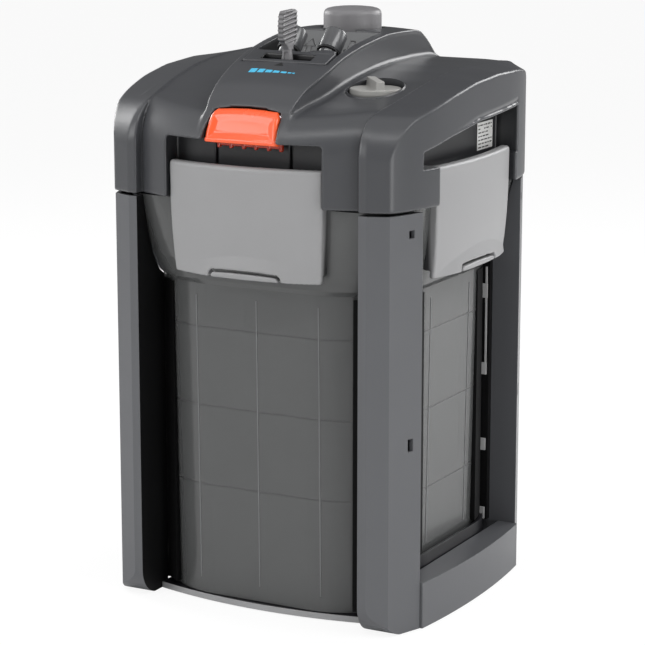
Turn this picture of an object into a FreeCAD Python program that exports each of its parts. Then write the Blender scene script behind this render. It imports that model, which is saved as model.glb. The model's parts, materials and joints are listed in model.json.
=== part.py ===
import FreeCAD, Part
import math
import os

import Sketcher
from FreeCAD import Placement, Rotation, Vector

# Canister filter for an aquarium: a smoked container with three media baskets and a
# prefilter basket, a four-post carrying frame, and a pump head held down by four swing clips.
# Millimetres, +Z up, the front faces -Y, the right side is +X, and the origin is the centre of
# the footprint on the floor.

os.makedirs("parts", exist_ok=True)
doc = FreeCAD.newDocument("canister_filter")

# ------------------------------------------------------------------ driving dimensions
# Alias, number, note. An alias ending in _r is a radius, one in _x, _y or _z a position.
SIZES = [
    ("overall_width", 238.0, "over the bulged side faces"),
    ("overall_depth", 244.0, "over the bulged front and rear faces"),
    ("overall_height", 400.0, "floor to the top of the flow lever"),
    ("seam_low", 278.4, "top of the frame posts"),
    ("seam_high", 280.4, "lower edge of the head cover"),
    ("wall", 2.6, "moulded wall of posts and skirts"),
    ("post_front", 109.2, "front face of a post, from the centre plane"),
    ("post_inner", 82.4, "inner edge of a post, from the centre plane"),
    ("post_strip", 88.5, "where the front strip of a post meets its chamfer"),
    ("post_edge_x", 102.2, "outer vertical edge of a post, X"),
    ("post_edge_y", 103.9, "outer vertical edge of a post, Y"),
    ("post_side_x", 112.3, "rear edge of the side face of a post, X"),
    ("post_side_y", 77.0, "rear edge of the side face of a post, Y"),
    ("post_back_x", 93.0, "inner end of the return wall of a post, X"),
    ("post_back_y", 76.4, "inner end of the inner wall of a post, Y"),
    ("post_round", 20.0, "radius under the toe of a post"),
    ("foot_gap", 0.6, "posts and skirts end this far above the floor"),
    ("skirt_top", 31.6, "height of the side shelf"),
    ("skirt_half", 76.6, "half length of a side skirt"),
    ("skirt_inner", 99.6, "inner face of a side skirt"),
    ("skirt_arc", 595.4, "plan radius of the skirt's outer face"),
    ("rail_top", 5.0, "top of the front rail"),
    ("rail_front", 95.5, "front rail at the centre"),
    ("rail_arc", 320.0, "plan radius of the front rail"),
    ("guide_top", 40.0, "top of the side guides of the base tray"),
    ("body_half_x", 96.0, "container half width"),
    ("body_half_y", 95.0, "container half depth"),
    ("body_corner_r", 58.0, "container corner radius"),
    ("body_wall", 2.6, "container wall"),
    ("body_low", 5.4, "underside of the container"),
    ("collar_low", 221.0, "underside of the container collar"),
    ("collar_top", 279.0, "rim of the container"),
    ("clip_half", 56.7, "half width of a clip"),
    ("clip_low", 231.0, "lower edge of a clip"),
    ("clip_top", 305.0, "upper edge of a clip"),
    ("clip_wall", 3.2, "thickness of a clip"),
    ("clip_face_y", 117.2, "front clip at its centre"),
    ("clip_face_x", 117.4, "side clip at its centre"),
    ("clip_arc_y", 205.0, "plan radius of the front and rear clips"),
    ("clip_arc_x", 334.0, "plan radius of the side clips"),
    ("hinge_z", 297.5, "height of the clip hinge axes"),
    ("hinge_y", 105.5, "front and rear clip hinge axes"),
    ("hinge_x", 108.5, "side clip hinge axes"),
    ("pin_r", 1.75, "clip hinge pin radius"),
    ("run_gap", 0.05, "radial running clearance"),
    ("recess_half", 57.7, "half width of a clip recess"),
    ("recess_back_y", 97.0, "back wall of the front and rear recesses"),
    ("recess_back_x", 99.0, "back wall of the side recesses"),
    ("recess_top", 321.0, "top edge of the front and rear recesses"),
    ("latch_pin_y", 104.0, "release latch hinge axis"),
    ("latch_pin_z", 336.5, "release latch hinge axis"),
    ("latch_pin_r", 1.5, "release latch pin radius"),
    ("lever_y", 50.5, "flow lever, distance in front of the centre"),
    ("lever_z", 352.0, "flow lever pivot height"),
    ("spindle_r", 4.0, "flow lever spindle radius"),
    ("knob_y", 41.0, "priming knob, distance behind the centre"),
    ("knob_r", 20.0, "priming knob radius"),
    ("knob_top", 395.6, "priming knob top"),
    ("knob_low", 364.0, "priming knob lower edge"),
    ("rod_r", 4.0, "priming rod radius"),
    ("piston_r", 13.0, "priming piston radius"),
    ("barrel_r", 14.2, "priming barrel bore radius"),
    ("dial_x", 61.0, "bypass dial, X"),
    ("dial_y", 43.7, "bypass dial, distance in front of the centre"),
    ("dial_z", 351.0, "bypass dial face height"),
    ("dial_r", 17.0, "bypass dial radius"),
    ("bezel_r", 19.8, "bypass dial bezel radius"),
    ("dial_tilt", 13.5, "forward tilt of the dial axis in degrees"),
    ("hose_x", 15.0, "hose connectors, distance from the centre"),
    ("hose_r", 8.0, "hose connector outer radius"),
    ("hose_bore", 5.0, "hose connector bore radius"),
    ("hose_len", 16.0, "length of the connector sleeve"),
    ("neck_r", 6.5, "connector neck radius"),
    ("pump_y", 42.0, "motor axis, distance in front of the centre"),
    ("can_r", 12.6, "motor can bore radius"),
    ("rotor_r", 11.6, "rotor magnet radius"),
    ("shaft_r", 1.5, "ceramic shaft radius"),
    ("impeller_r", 17.0, "impeller radius"),
    ("basket_half_x", 88.0, "basket half width"),
    ("basket_half_y", 79.0, "basket half depth"),
    ("basket_corner_r", 50.0, "basket corner radius"),
    ("basket_shift", 8.0, "baskets sit forward by this much"),
    ("basket_step", 54.4, "height of one media basket"),
    ("basket_low", 28.0, "underside of the lowest basket"),
    ("rib_x", 46.0, "spacing of the ribs on a basket"),
    ("duct_r", 7.4, "intake duct outer radius"),
    ("duct_y", 81.0, "intake duct, distance behind the centre"),
    ("cable_r", 3.2, "power cable radius"),
]


class Dimensions:
    """The driving dimensions as plain numbers, one attribute per alias."""


dim = Dimensions()
table = doc.addObject("Spreadsheet::Sheet", "Sizes")
for row, (alias, number, note) in enumerate(SIZES, start=1):
    table.set("A%d" % row, note)
    table.set("B%d" % row, repr(number))
    table.setAlias("B%d" % row, alias)
    setattr(dim, alias, number)
doc.recompute()


class Size:
    """A number together with the spreadsheet expression that gives it."""

    def __init__(self, value, text):
        self.value = float(value)
        self.text = text

    def __add__(self, other):
        other = size(other)
        return Size(self.value + other.value, "(%s + %s)" % (self.text, other.text))

    def __sub__(self, other):
        other = size(other)
        return Size(self.value - other.value, "(%s - %s)" % (self.text, other.text))

    def __mul__(self, other):
        other = size(other)
        return Size(self.value * other.value, "(%s * %s)" % (self.text, other.text))

    def __neg__(self):
        return Size(-self.value, "(0 - %s)" % self.text)

    def __radd__(self, other):
        return size(other) + self

    def __rsub__(self, other):
        return size(other) - self

    def __rmul__(self, other):
        return size(other) * self


def size(item):
    """A Size from an alias, a number or another Size."""
    if isinstance(item, Size):
        return item
    if isinstance(item, str):
        return Size(getattr(dim, item), "Sizes." + item)
    return Size(item, repr(float(item)))


def link(obj, path, item):
    """Bind a property to the spreadsheet if the size depends on it."""
    if "Sizes." in item.text:
        obj.setExpression(path, item.text)


def assign(obj, **properties):
    for name, item in properties.items():
        item = size(item)
        setattr(obj, name, item.value)
        link(obj, name, item)


# ------------------------------------------------------------------ document objects
X_AXIS, Y_AXIS, Z_AXIS = (1, 0, 0), (0, 1, 0), (0, 0, 1)
BOTH = (-1, 1)
PARTS = []
made = []


def fresh(kind):
    made.append(kind)
    return "%s_%03d" % (kind, len(made))


def keep(obj, label):
    """Label an object and list it for export."""
    obj.Label = label
    PARTS.append(obj)
    return obj


def place(obj, xyz=(0, 0, 0), axis=None, angle=0.0):
    values = [size(item) for item in xyz]
    turn = Rotation(Vector(*axis), angle) if axis else Rotation()
    obj.Placement = Placement(Vector(*[item.value for item in values]), turn)
    for key, item in zip("xyz", values):
        link(obj, "Placement.Base." + key, item)
    return obj


def span(side, near, far):
    """Both ends, in rising order, of a span from near to far on the side of that sign."""
    ends = (near * side, far * side)
    return ends if side > 0 else ends[::-1]


def primitive(kind, xyz, axis=None, angle=0.0, **properties):
    obj = doc.addObject("Part::" + kind, fresh(kind))
    assign(obj, **properties)
    return place(obj, xyz, axis, angle)


def box(x0, x1, y0, y1, z0, z1):
    return primitive(
        "Box", (x0, y0, z0), Length=size(x1) - x0, Width=size(y1) - y0, Height=size(z1) - z0
    )


def cyl(radius, height, xyz=(0, 0, 0), axis=None, angle=0.0):
    return primitive("Cylinder", xyz, axis, angle, Radius=radius, Height=height)


def torus(ring_r, tube_r, xyz=(0, 0, 0), axis=None, angle=0.0):
    return primitive("Torus", xyz, axis, angle, Radius1=ring_r, Radius2=tube_r)


def combine(kind, property_name, items):
    obj = doc.addObject("Part::" + kind, fresh(kind))
    setattr(obj, property_name, list(items))
    return obj


def fuse(*items):
    return combine("MultiFuse", "Shapes", items)


def common(*items):
    return combine("MultiCommon", "Shapes", items)


def group(*items):
    """Separate solids kept in one object."""
    return combine("Compound", "Links", items)


def cut(base, *tools):
    obj = doc.addObject("Part::Cut", fresh("Cut"))
    obj.Base = base
    obj.Tool = tools[0] if len(tools) == 1 else fuse(*tools)
    return obj


def feature(shape, label=None):
    obj = doc.addObject("Part::Feature", fresh("Shape"))
    obj.Shape = shape
    return keep(obj, label) if label else obj


# ------------------------------------------------------------------ sketches and bodies
def new_body():
    return doc.addObject("PartDesign::Body", fresh("Body"))


def sketch(owner, role="XY_Plane", offset=0.0):
    result = owner.newObject("Sketcher::SketchObject", fresh("Sketch"))
    plane = [item for item in owner.Origin.OriginFeatures if item.Role == role][0]
    result.AttachmentSupport = [(plane, "")]
    result.MapMode = "FlatFace"
    offset = size(offset)
    result.AttachmentOffset = Placement(Vector(0, 0, offset.value), Rotation())
    link(result, "AttachmentOffset.Base.z", offset)
    return result


def dimension(target, kind, *args):
    item = size(args[-1])
    index = target.addConstraint(Sketcher.Constraint(kind, *args[:-1], item.value))
    link(target, "Constraints[%d]" % index, item)


def locate(target, geometry, point, x, y):
    """Dimension a point from the sketch origin, or set it on an axis where it is zero."""
    for kind, axis, item in (("DistanceX", -2, x), ("DistanceY", -1, y)):
        if abs(item.value) < 1e-9:
            target.addConstraint(Sketcher.Constraint("PointOnObject", geometry, point, axis))
        else:
            dimension(target, kind, -1, 1, geometry, point, item)


def polygon(target, points):
    """A closed outline whose every corner is dimensioned from the sketch origin."""
    corners = [(size(x), size(y)) for x, y in points]
    lines = []
    for i, (x, y) in enumerate(corners):
        next_x, next_y = corners[(i + 1) % len(corners)]
        start = Vector(x.value, y.value, 0)
        end = Vector(next_x.value, next_y.value, 0)
        lines.append(target.addGeometry(Part.LineSegment(start, end), False))
    for i in range(len(lines)):
        target.addConstraint(Sketcher.Constraint("Coincident", lines[i - 1], 2, lines[i], 1))
    for line, (x, y) in zip(lines, corners):
        locate(target, line, 1, x, y)


def circle(target, radius):
    """A circle about the sketch origin."""
    radius = size(radius)
    ring = Part.Circle(Vector(0, 0, 0), Vector(0, 0, 1), radius.value)
    index = target.addGeometry(ring, False)
    dimension(target, "Radius", index, radius)
    locate(target, index, 3, size(0), size(0))


def extrude_sketch(owner, kind, profile, length, reverse=False):
    """Kind is Pad or Pocket."""
    obj = owner.newObject("PartDesign::" + kind, fresh(kind))
    obj.Profile = profile
    assign(obj, Length=length)
    obj.Reversed = reverse
    doc.recompute()


def turned(points, at=(0, 0, 0), axis=None, angle=0.0):
    """A turned part: the outline (radius, height) revolved about its own Z axis."""
    owner = new_body()
    profile = sketch(owner, "XZ_Plane")
    polygon(profile, points)
    obj = owner.newObject("PartDesign::Revolution", fresh("Turn"))
    obj.Profile = profile
    obj.ReferenceAxis = (profile, ["V_Axis"])
    obj.Angle = 360.0
    doc.recompute()
    return place(owner, at, axis, angle)


def rod(radius, length, at=(0, 0, 0), axis=None, angle=0.0, bore=None):
    owner = new_body()
    profile = sketch(owner)
    circle(profile, radius)
    if bore is not None:
        circle(profile, bore)
    extrude_sketch(owner, "Pad", profile, length)
    return place(owner, at, axis, angle)


# ------------------------------------------------------------------ plain shapes
def rounded(half_x, half_y, radius, z, shift_y):
    """Closed wire: a rectangle with rounded corners at height z."""
    flat_x, flat_y = half_x - radius, half_y - radius
    corners = []
    for centre_x, centre_y, start in (
        (flat_x, flat_y, 0), (-flat_x, flat_y, 90), (-flat_x, -flat_y, 180), (flat_x, -flat_y, 270),
    ):
        points = []
        for degrees in (start, start + 45, start + 90):
            turn = math.radians(degrees)
            x = centre_x + radius * math.cos(turn)
            y = shift_y + centre_y + radius * math.sin(turn)
            points.append(Vector(x, y, z))
        corners.append(points)
    edges = []
    for i, points in enumerate(corners):
        edges.append(Part.Arc(*points).toShape())
        edges.append(Part.makeLine(points[2], corners[(i + 1) % 4][0]))
    return Part.Wire(edges)


def stack(sections, grow=0.0, shift_y=0.0):
    """Solid through rounded outlines (z, half x, half y, corner radius), all grown sideways."""
    wires = [
        rounded(half_x + grow, half_y + grow, radius + grow, z, shift_y)
        for z, half_x, half_y, radius in sections
    ]
    return Part.makeLoft(wires, True, True)


def rect_loft(sections):
    """Solid through rectangles (z, half width, front y, rear y)."""
    wires = []
    for z, half, front, rear in sections:
        corners = [(-half, front), (half, front), (half, rear), (-half, rear), (-half, front)]
        wires.append(Part.makePolygon([Vector(x, y, z) for x, y in corners]))
    return Part.makeLoft(wires, True, True)


def prism(points, direction):
    return Part.Face(Part.makePolygon(points + points[:1])).extrude(direction)


def prism_yz(points, x0, x1):
    return prism([Vector(x0, y, z) for y, z in points], Vector(x1 - x0, 0, 0))


def solid_box(x0, x1, y0, y1, z0, z1):
    return Part.makeBox(x1 - x0, y1 - y0, z1 - z0, Vector(x0, y0, z0))


def solid_cyl(radius, length, start, axis=Z_AXIS):
    return Part.makeCylinder(radius, length, Vector(*start), Vector(*axis))


def fuse_shapes(shapes):
    result = shapes[0]
    for shape in shapes[1:]:
        result = result.fuse(shape)
    return result


def cut_shapes(result, tools):
    for tool in tools:
        result = result.cut(tool)
    return result


def largest(shape):
    return max(shape.Solids, key=lambda solid: solid.Volume)


# ------------------------------------------------------------------ container
# The body tapers slightly downwards; the collar flares out in a bowl to the rim.
# Height, growth in X, growth in Y, loss of corner radius.
FLARE = [
    (dim.body_low, -3.2, -3.2, 1.5),
    (dim.collar_low, 0.0, 0.0, 0.0),
    (dim.collar_low + 3.5, 2.6, 2.0, 2.0),
    (dim.collar_low + 8.0, 4.0, 3.0, 4.0),
    (dim.collar_low + 17.0, 6.2, 4.6, 8.0),
    (dim.collar_low + 28.0, 8.0, 6.0, 11.0),
    (dim.collar_low + 44.0, 10.4, 7.2, 15.0),
    (dim.collar_top, 12.0, 8.0, 20.0),
]
SHELL = [
    (z, dim.body_half_x + grow_x, dim.body_half_y + grow_y, dim.body_corner_r - loss)
    for z, grow_x, grow_y, loss in FLARE
]
CATCH_LOW, CATCH_TOP = 246.0, 249.0
POST_GAP = 0.6  # between the container and the posts


def make_container():
    bottom = (dim.body_low + dim.body_wall,) + SHELL[0][1:]
    mouth = (dim.collar_top + 1.0,) + SHELL[-1][1:]
    shell = stack(SHELL).cut(stack([bottom] + SHELL[1:-1] + [mouth], -dim.body_wall))
    # A catch rail on each side of the collar, under which the hook of a clip takes hold.
    band = stack([(CATCH_LOW, 106.4, 103.0, 46.0), (CATCH_TOP, 107.0, 103.4, 46.0)])
    band = band.cut(
        stack([(CATCH_LOW - 1, 102.0, 99.4, 47.0), (CATCH_TOP + 1, 102.6, 99.8, 47.0)])
    )
    middle_x = solid_box(-48, 48, -150, 150, 220, 300)
    middle_y = solid_box(-150, 150, -48, 48, 220, 300)
    return shell.fuse(band.common(middle_x.fuse(middle_y))).removeSplitter()


feature(make_container(), "container")
under_collar = [(dim.collar_low - POST_GAP,) + SHELL[1][1:], SHELL[2]]
clearance_tool = feature(stack(SHELL, POST_GAP).fuse(stack(under_collar, POST_GAP)))


# ------------------------------------------------------------------ frame
def inset_corners(corners, wall):
    """The outline moved inwards by one wall; each corner moves along both its walls."""
    plain = [(x.value, y.value) for x, y in corners]
    result = []
    for i, (x, y) in enumerate(corners):
        before, here, after = plain[i - 1], plain[i], plain[(i + 1) % len(plain)]
        normals = []
        for start, end in ((before, here), (here, after)):
            run, rise = end[0] - start[0], end[1] - start[1]
            length = math.hypot(run, rise)
            normals.append((rise / length, -run / length))
        first, second = normals
        cross = first[0] * second[1] - first[1] * second[0]
        move_x = (second[1] - first[1]) / cross
        move_y = (first[0] - second[0]) / cross
        result.append((x + wall * move_x, y + wall * move_y))
    return result


def post(side_x, side_y, label):
    corners = [
        (size("post_inner"), size("post_front")),
        (size("post_strip"), size("post_front")),
        (size("post_edge_x"), size("post_edge_y")),
        (size("post_side_x"), size("post_side_y")),
        (size("post_back_x"), size("post_side_y")),
        (size("post_inner"), size("post_back_y")),
    ]

    def signed(points):
        return [(x if side_x > 0 else -x, y if side_y > 0 else -y) for x, y in points]

    owner = new_body()
    outline = sketch(owner, offset="foot_gap")
    polygon(outline, signed(corners))
    extrude_sketch(owner, "Pad", outline, size("seam_low") - "foot_gap")
    # Hollow above the toe, open at the top.
    toe_r = size("post_round")
    core = sketch(owner, offset=toe_r + 4.0)
    polygon(core, signed(inset_corners(corners, size("wall"))))
    extrude_sketch(owner, "Pocket", core, size("seam_low") - toe_r - 4.0 + 1.0, reverse=True)
    # Toe: the cutter is a block with the toe radius taken out of it.
    front = size("post_front")
    toe = cut(
        box(-130, 130, *span(side_y, front - toe_r, front + 10), -5, toe_r),
        cyl(toe_r, 270, (-135, (front - toe_r) * side_y, toe_r), Y_AXIS, 90),
    )
    # Snap windows through the side face.
    windows = [
        box(*span(side_x, 103.0, 116.0), *span(side_y, 83.8, 88.2), low, top)
        for low, top in ((262.6, 267.8), (122.8, 131.2))
    ]
    keep(cut(owner, toe, *windows, clearance_tool), label)


for depth_name, side_y in (("front", -1), ("rear", 1)):
    for side_name, side_x in (("right", 1), ("left", -1)):
        post(side_x, side_y, "corner_post_%s_%s" % (depth_name, side_name))


def skirt(side, label):
    wall, half, inner = size("wall"), size("skirt_half"), size("skirt_inner")
    beyond = 125.0
    centre_x = (size("overall_width") * 0.5 - "skirt_arc") * side
    outside = common(
        box(*span(side, inner, beyond), -half, half, "foot_gap", "skirt_top"),
        cyl("skirt_arc", 60, (centre_x, 0, -5)),
    )
    inside = common(
        box(*span(side, inner + wall, beyond), wall - half, half - wall,
            -2, size("skirt_top") - wall),
        cyl(size("skirt_arc") - wall, 60, (centre_x, 0, -5)),
    )
    keep(cut(outside, inside), label)


skirt(1, "side_skirt_right")
skirt(-1, "side_skirt_left")

# Base tray: bowed front and rear rails, a plate under the container and a guide along each side.
PLATE_LOW = 0.8
PLATE_HALF_X, PLATE_HALF_Y = 98.8, 62.0
FEET = [(x, y) for x in (-60, 60) for y in (-60, 60)]

bow_centre = size("rail_arc") - "rail_front"
rails = common(
    box(0.5 - size("post_inner"), size("post_inner") - 0.5, -100, 100, PLATE_LOW, "rail_top"),
    cyl("rail_arc", 20, (0, bow_centre, -5)),
    cyl("rail_arc", 20, (0, -bow_centre, -5)),
)
plate = box(
    -PLATE_HALF_X, PLATE_HALF_X, -PLATE_HALF_Y, PLATE_HALF_Y, PLATE_LOW, "rail_top"
)
ring = stack([(z, PLATE_HALF_X, 97.8, 60.0) for z in (1.0, dim.guide_top)])
ring = ring.cut(stack([(z, 96.9, 95.9, 58.8) for z in (0.0, dim.guide_top + 1)]))
guides = common(
    feature(ring), box(-110, 110, -PLATE_HALF_Y, PLATE_HALF_Y, 0.9, "guide_top")
)
window = box(-80, 80, -110, 110, "rail_top", size("guide_top") + 1)
foot_wells = [cyl(8.2, 3.0, (x, y, 0.0)) for x, y in FEET]
keep(cut(fuse(rails, plate, cut(guides, window)), *foot_wells), "base_tray")

FOOT_OUTLINE = [(0, 0), (6.6, 0), (7.9, 1.0), (7.9, 2.9), (0, 2.9)]
keep(group(*[turned(FOOT_OUTLINE, at=(x, y, 0)) for x, y in FEET]), "rubber_feet")

# ------------------------------------------------------------------ head cover
HEAD_CEILING = 384.0  # above every point of the cover

# Roof line (y, z) of the wings to the left and right of the ridge.
WING_TOP = [
    (-122.5, 301.0), (-117.5, 307.0), (-112.5, 313.5), (-108.0, 321.0), (-103.0, 331.0),
    (-96.0, 338.0), (-84.0, 343.0), (-72.0, 346.0), (-48.0, 351.5), (-24.0, 356.0),
    (0.0, 359.2), (24.0, 360.8), (60.0, 361.0), (84.0, 359.5), (96.0, 356.5),
    (104.0, 350.0), (110.0, 340.0), (116.0, 325.0), (122.5, 303.0),
]
# Roof line (y, z) of the central ridge.
RIDGE_TOP = [
    (-122.5, 303.0), (-119.5, 315.0), (-112.0, 327.7), (-106.0, 337.5), (-100.0, 345.1),
    (-88.0, 353.3), (-76.0, 358.2), (-64.0, 362.8), (-52.0, 367.0), (-40.0, 370.7),
    (-28.0, 373.3), (-16.0, 375.6), (-4.0, 377.3), (8.0, 378.8), (20.0, 380.0),
    (40.0, 380.5), (60.0, 379.5), (70.0, 378.0), (80.0, 372.0), (90.0, 364.0),
    (100.0, 353.0), (108.0, 343.0), (122.5, 303.0),
]
# Half width of the ridge from front to rear, (half width, y).
RIDGE_PLAN = [
    (29.5, -123.0), (30.0, -112.0), (32.5, -96.0), (35.0, -76.0), (36.8, -52.0),
    (37.6, -16.0), (38.4, 30.0), (38.6, 70.0), (38.6, 123.0),
]
# Screw bosses (x, y) under the roof.
BOSSES = [(x, y) for y in (-60.0, 60.0) for x in (-78.0, 78.0)]

CABLE_X, CABLE_Z = -72.0, 292.0
GLAND_R = 4.6
STEM_R = 5.0  # bypass stem

tilt = math.radians(dim.dial_tilt)
dial_axis = Vector(0, -math.sin(tilt), math.cos(tilt))
dial_face = Vector(dim.dial_x, -dim.dial_y, dim.dial_z)


def head_plan(grow, low):
    """Plan of the head: bowed panels front and rear, standing corner strips, bulged sides."""
    panel_x = 82.4
    strip_y = 109.8 + grow
    # One corner, from the end of the front or rear panel round to the side face.
    corner = [
        (panel_x, 103.0 + grow),
        (panel_x, strip_y),
        (88.5 + grow * 0.2, strip_y),
        (102.9 + grow, 104.5 + grow * 0.7),
        (113.0 + grow, 77.0),
    ]
    back = corner[::-1]
    # Anticlockwise: front right, rear right, rear left, front left.
    runs = [
        [(x, -y) for x, y in corner],
        back,
        [(-x, y) for x, y in corner],
        [(-x, -y) for x, y in back],
    ]
    half_x = dim.overall_width / 2 + grow
    half_y = dim.overall_depth / 2 + grow
    # Middle of the bowed face that comes before each run.
    middles = [(0, -half_y), (half_x, 0), (0, half_y), (-half_x, 0)]
    edges = []
    for i, run in enumerate(runs):
        arc = [Vector(x, y, low) for x, y in (runs[i - 1][-1], middles[i], run[0])]
        edges.append(Part.Arc(*arc).toShape())
        points = [Vector(x, y, low) for x, y in run]
        for start, end in zip(points, points[1:]):
            edges.append(Part.makeLine(start, end))
    return Part.Face(Part.Wire(edges)).extrude(Vector(0, 0, HEAD_CEILING - low))


def under(roof, drop, half_width, low):
    """Everything below a roof line that is lowered by drop."""
    points = [(roof[0][0], low)] + [(y, z - drop) for y, z in roof] + [(roof[-1][0], low)]
    return prism_yz(points, -half_width, half_width)


def ridge_plan(grow, low):
    right = [(x + grow, y) for x, y in RIDGE_PLAN]
    left = [(-x, y) for x, y in reversed(right)]
    points = [Vector(x, y, low) for x, y in right + left]
    return prism(points, Vector(0, 0, HEAD_CEILING - low))


def shoulders(drop):
    """Cutters above the shoulders, which slope down from the wing roofs to the side faces."""
    section = [
        (150.0, 300.0), (150.0, 420.0), (92.0, 420.0), (92.0, 361.6 - drop), (119.5, 356.0 - drop)
    ]
    right, left = [
        prism([Vector(side * x, -130, z) for x, z in section], Vector(0, 260, 0))
        for side in (1, -1)
    ]
    return right.fuse(left)


def head_volume(grow, low, wing_drop, ridge_drop):
    plan = head_plan(grow, low)
    wings = plan.common(under(WING_TOP, wing_drop, 130.0, low)).cut(shoulders(wing_drop))
    ridge = plan.common(under(RIDGE_TOP, ridge_drop, 60.0, low)).common(ridge_plan(grow, low))
    return wings.fuse(ridge)


def side_recess(side, grow):
    """Opening of a side recess; its upper lip climbs towards the rear."""
    front, rear = 60.0 + grow, 63.0 + grow
    outline = [
        (-front, 270.0), (-front, 306.0 - grow), (-77.0 - grow, 306.0 - grow),
        (-77.0 - grow, 316.5 + grow), (-46.0, 323.0 + grow), (-7.0, 328.3 + grow),
        (rear, 331.6 + grow), (rear, 300.0 - grow), (front, 300.0 - grow), (front, 270.0),
    ]
    return prism_yz(outline, *span(side, dim.recess_back_x - grow, 140.0))


def recesses(grow):
    """The four clip recesses, grown by the wall behind them."""
    half, back = dim.recess_half + grow, dim.recess_back_y - grow
    top = dim.recess_top + grow
    return fuse_shapes([
        solid_box(-half, half, -140, -back, 270, top),
        solid_box(-half, half, back, 140, 270, top),
        side_recess(1, grow),
        side_recess(-1, grow),
    ])


def make_cover():
    low = dim.seam_high
    hull = head_volume(0.0, low, 0.0, 0.0)
    void = head_volume(-3.0, low - 1.0, 3.2, 3.6)
    # What stays solid inside: screw bosses and the walls around each opening.
    void = cut_shapes(void, [
        fuse_shapes([solid_cyl(4.6, 90, (x, y, 283.2)) for x, y in BOSSES]),
        recesses(3.0),
        solid_box(-30.0, 30.0, -140, -96.0, 309.0, 344.5),
        solid_box(-34.6, 34.6, -60.5, 64.0, 335.0, 400.0),
        solid_cyl(dim.bezel_r + 3.2, 40, dial_face - dial_axis * 14.0, dial_axis),
    ])
    cover = cut_shapes(hull.cut(void), [
        recesses(0.0),
        # latch pocket in the front of the ridge, above the front recess
        solid_box(-27.2, 27.2, -140, -99.0, 312.0, 341.5),
        # bay for the flow lever and the hose connectors, and the priming well
        solid_box(-31.6, 31.6, -57.5, 22.0, 338.0, 400.0),
        solid_cyl(dim.knob_r + 1.5, 70, (0, dim.knob_y, 330)),
        # seat of the dial and bore of its stem
        solid_cyl(dim.bezel_r + 0.15, 40, dial_face - dial_axis * 11.0, dial_axis),
        solid_cyl(STEM_R + dim.run_gap, 16, dial_face - Vector(0, 0, 20.0)),
    ])
    # Hinge pin bores of the clips, then of the latch.
    half = dim.recess_half
    for side in BOTH:
        start = (-half - 2.5, side * dim.hinge_y, dim.hinge_z)
        cover = cover.cut(solid_cyl(dim.pin_r, 2 * half + 5, start, X_AXIS))
    for side in BOTH:
        start = (side * dim.hinge_x, -62.5, dim.hinge_z)
        cover = cover.cut(solid_cyl(dim.pin_r, 125, start, Y_AXIS))
    cover = cut_shapes(cover, [
        solid_cyl(dim.latch_pin_r, 58, (-29, -dim.latch_pin_y, dim.latch_pin_z), X_AXIS),
        # room for the flange of the pump head
        stack([(z, 107.5, 101.5, 38.4) for z in (278.0, 283.0)]),
        # screw holes and the hole of the cable gland
        *[solid_cyl(2.25, 6.0, (x, y, 283.0)) for x, y in BOSSES],
        solid_cyl(GLAND_R + dim.run_gap, 30, (CABLE_X, 92.0, CABLE_Z), Y_AXIS),
    ])
    return largest(cover.removeSplitter())


feature(make_cover(), "head_cover")


# ------------------------------------------------------------------ clips
def make_clip(across, turn):
    """A clip built at the front and turned into place; across is for front and rear."""
    arc_r = dim.clip_arc_y if across else dim.clip_arc_x
    face = dim.clip_face_y if across else dim.clip_face_x
    hinge = dim.hinge_y if across else dim.hinge_x
    hook_tip = 101.6 if across else 104.6
    half, low, top = dim.clip_half, dim.clip_low, dim.clip_top

    def bow(half_width):
        """How far the bowed face falls back at this distance from its middle."""
        return arc_r - math.sqrt(arc_r ** 2 - half_width ** 2)

    def outline(z, lean, half_width, thickness):
        middle = lean - face
        end = middle + bow(half_width)
        outer = [Vector(-half_width, end, z), Vector(0, middle, z), Vector(half_width, end, z)]
        inner = [point + Vector(0, thickness, 0) for point in reversed(outer)]
        return Part.Wire([
            Part.Arc(*outer).toShape(),
            Part.makeLine(outer[2], inner[0]),
            Part.Arc(*inner).toShape(),
            Part.makeLine(inner[2], outer[0]),
        ])

    # Plate, leaning in towards the bottom: height, lean, half width.
    rows = [
        (low, 3.6, half - 2.2),
        (low + 12, 2.2, half - 1.6),
        (low + 28, 0.9, half - 0.8),
        (low + 46, 0.2, half - 0.2),
        (top - 4, 0.0, half),
    ]
    plate = Part.makeLoft([outline(*station, dim.clip_wall) for station in rows], True, True)
    # Thicker top edge.
    edge = [outline(top - 4, 0.0, half, 6.4), outline(top, 1.0, half, 5.2)]
    clip = plate.fuse(Part.makeLoft(edge, True, True))
    # Hook rail under the catch of the collar.
    clip = clip.fuse(solid_box(-44, 44, 7.0 - face, -hook_tip, 242.6, 245.2))
    # Hinge eyes with their webs.
    eye_width = 14
    far = half - 1.5
    web_front = bow(far) + 0.8 - face
    for x in (-far, far - eye_width):
        eye = solid_cyl(3.0, eye_width, (x, -hinge, dim.hinge_z), X_AXIS)
        web = solid_box(
            x, x + eye_width, web_front, -hinge, dim.hinge_z - 2.5, dim.hinge_z + 2.5
        )
        clip = clip.fuse(eye).fuse(web)
    bore_start = (-half - 2, -hinge, dim.hinge_z)
    clip = clip.cut(solid_cyl(dim.pin_r + dim.run_gap, 2 * half + 4, bore_start, X_AXIS))
    # Finger slot near the lower edge.
    clip = clip.cut(solid_box(-24, 24, -face - 10, 20 - face, low + 9.0, low + 11.0))
    clip = clip.removeSplitter()
    clip.rotate(Vector(0, 0, 0), Vector(0, 0, 1), turn)
    return clip


for name, across, turn in (
    ("front", True, 0), ("right", False, 90), ("rear", True, 180), ("left", False, 270),
):
    feature(make_clip(across, turn), "clip_" + name)

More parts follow.
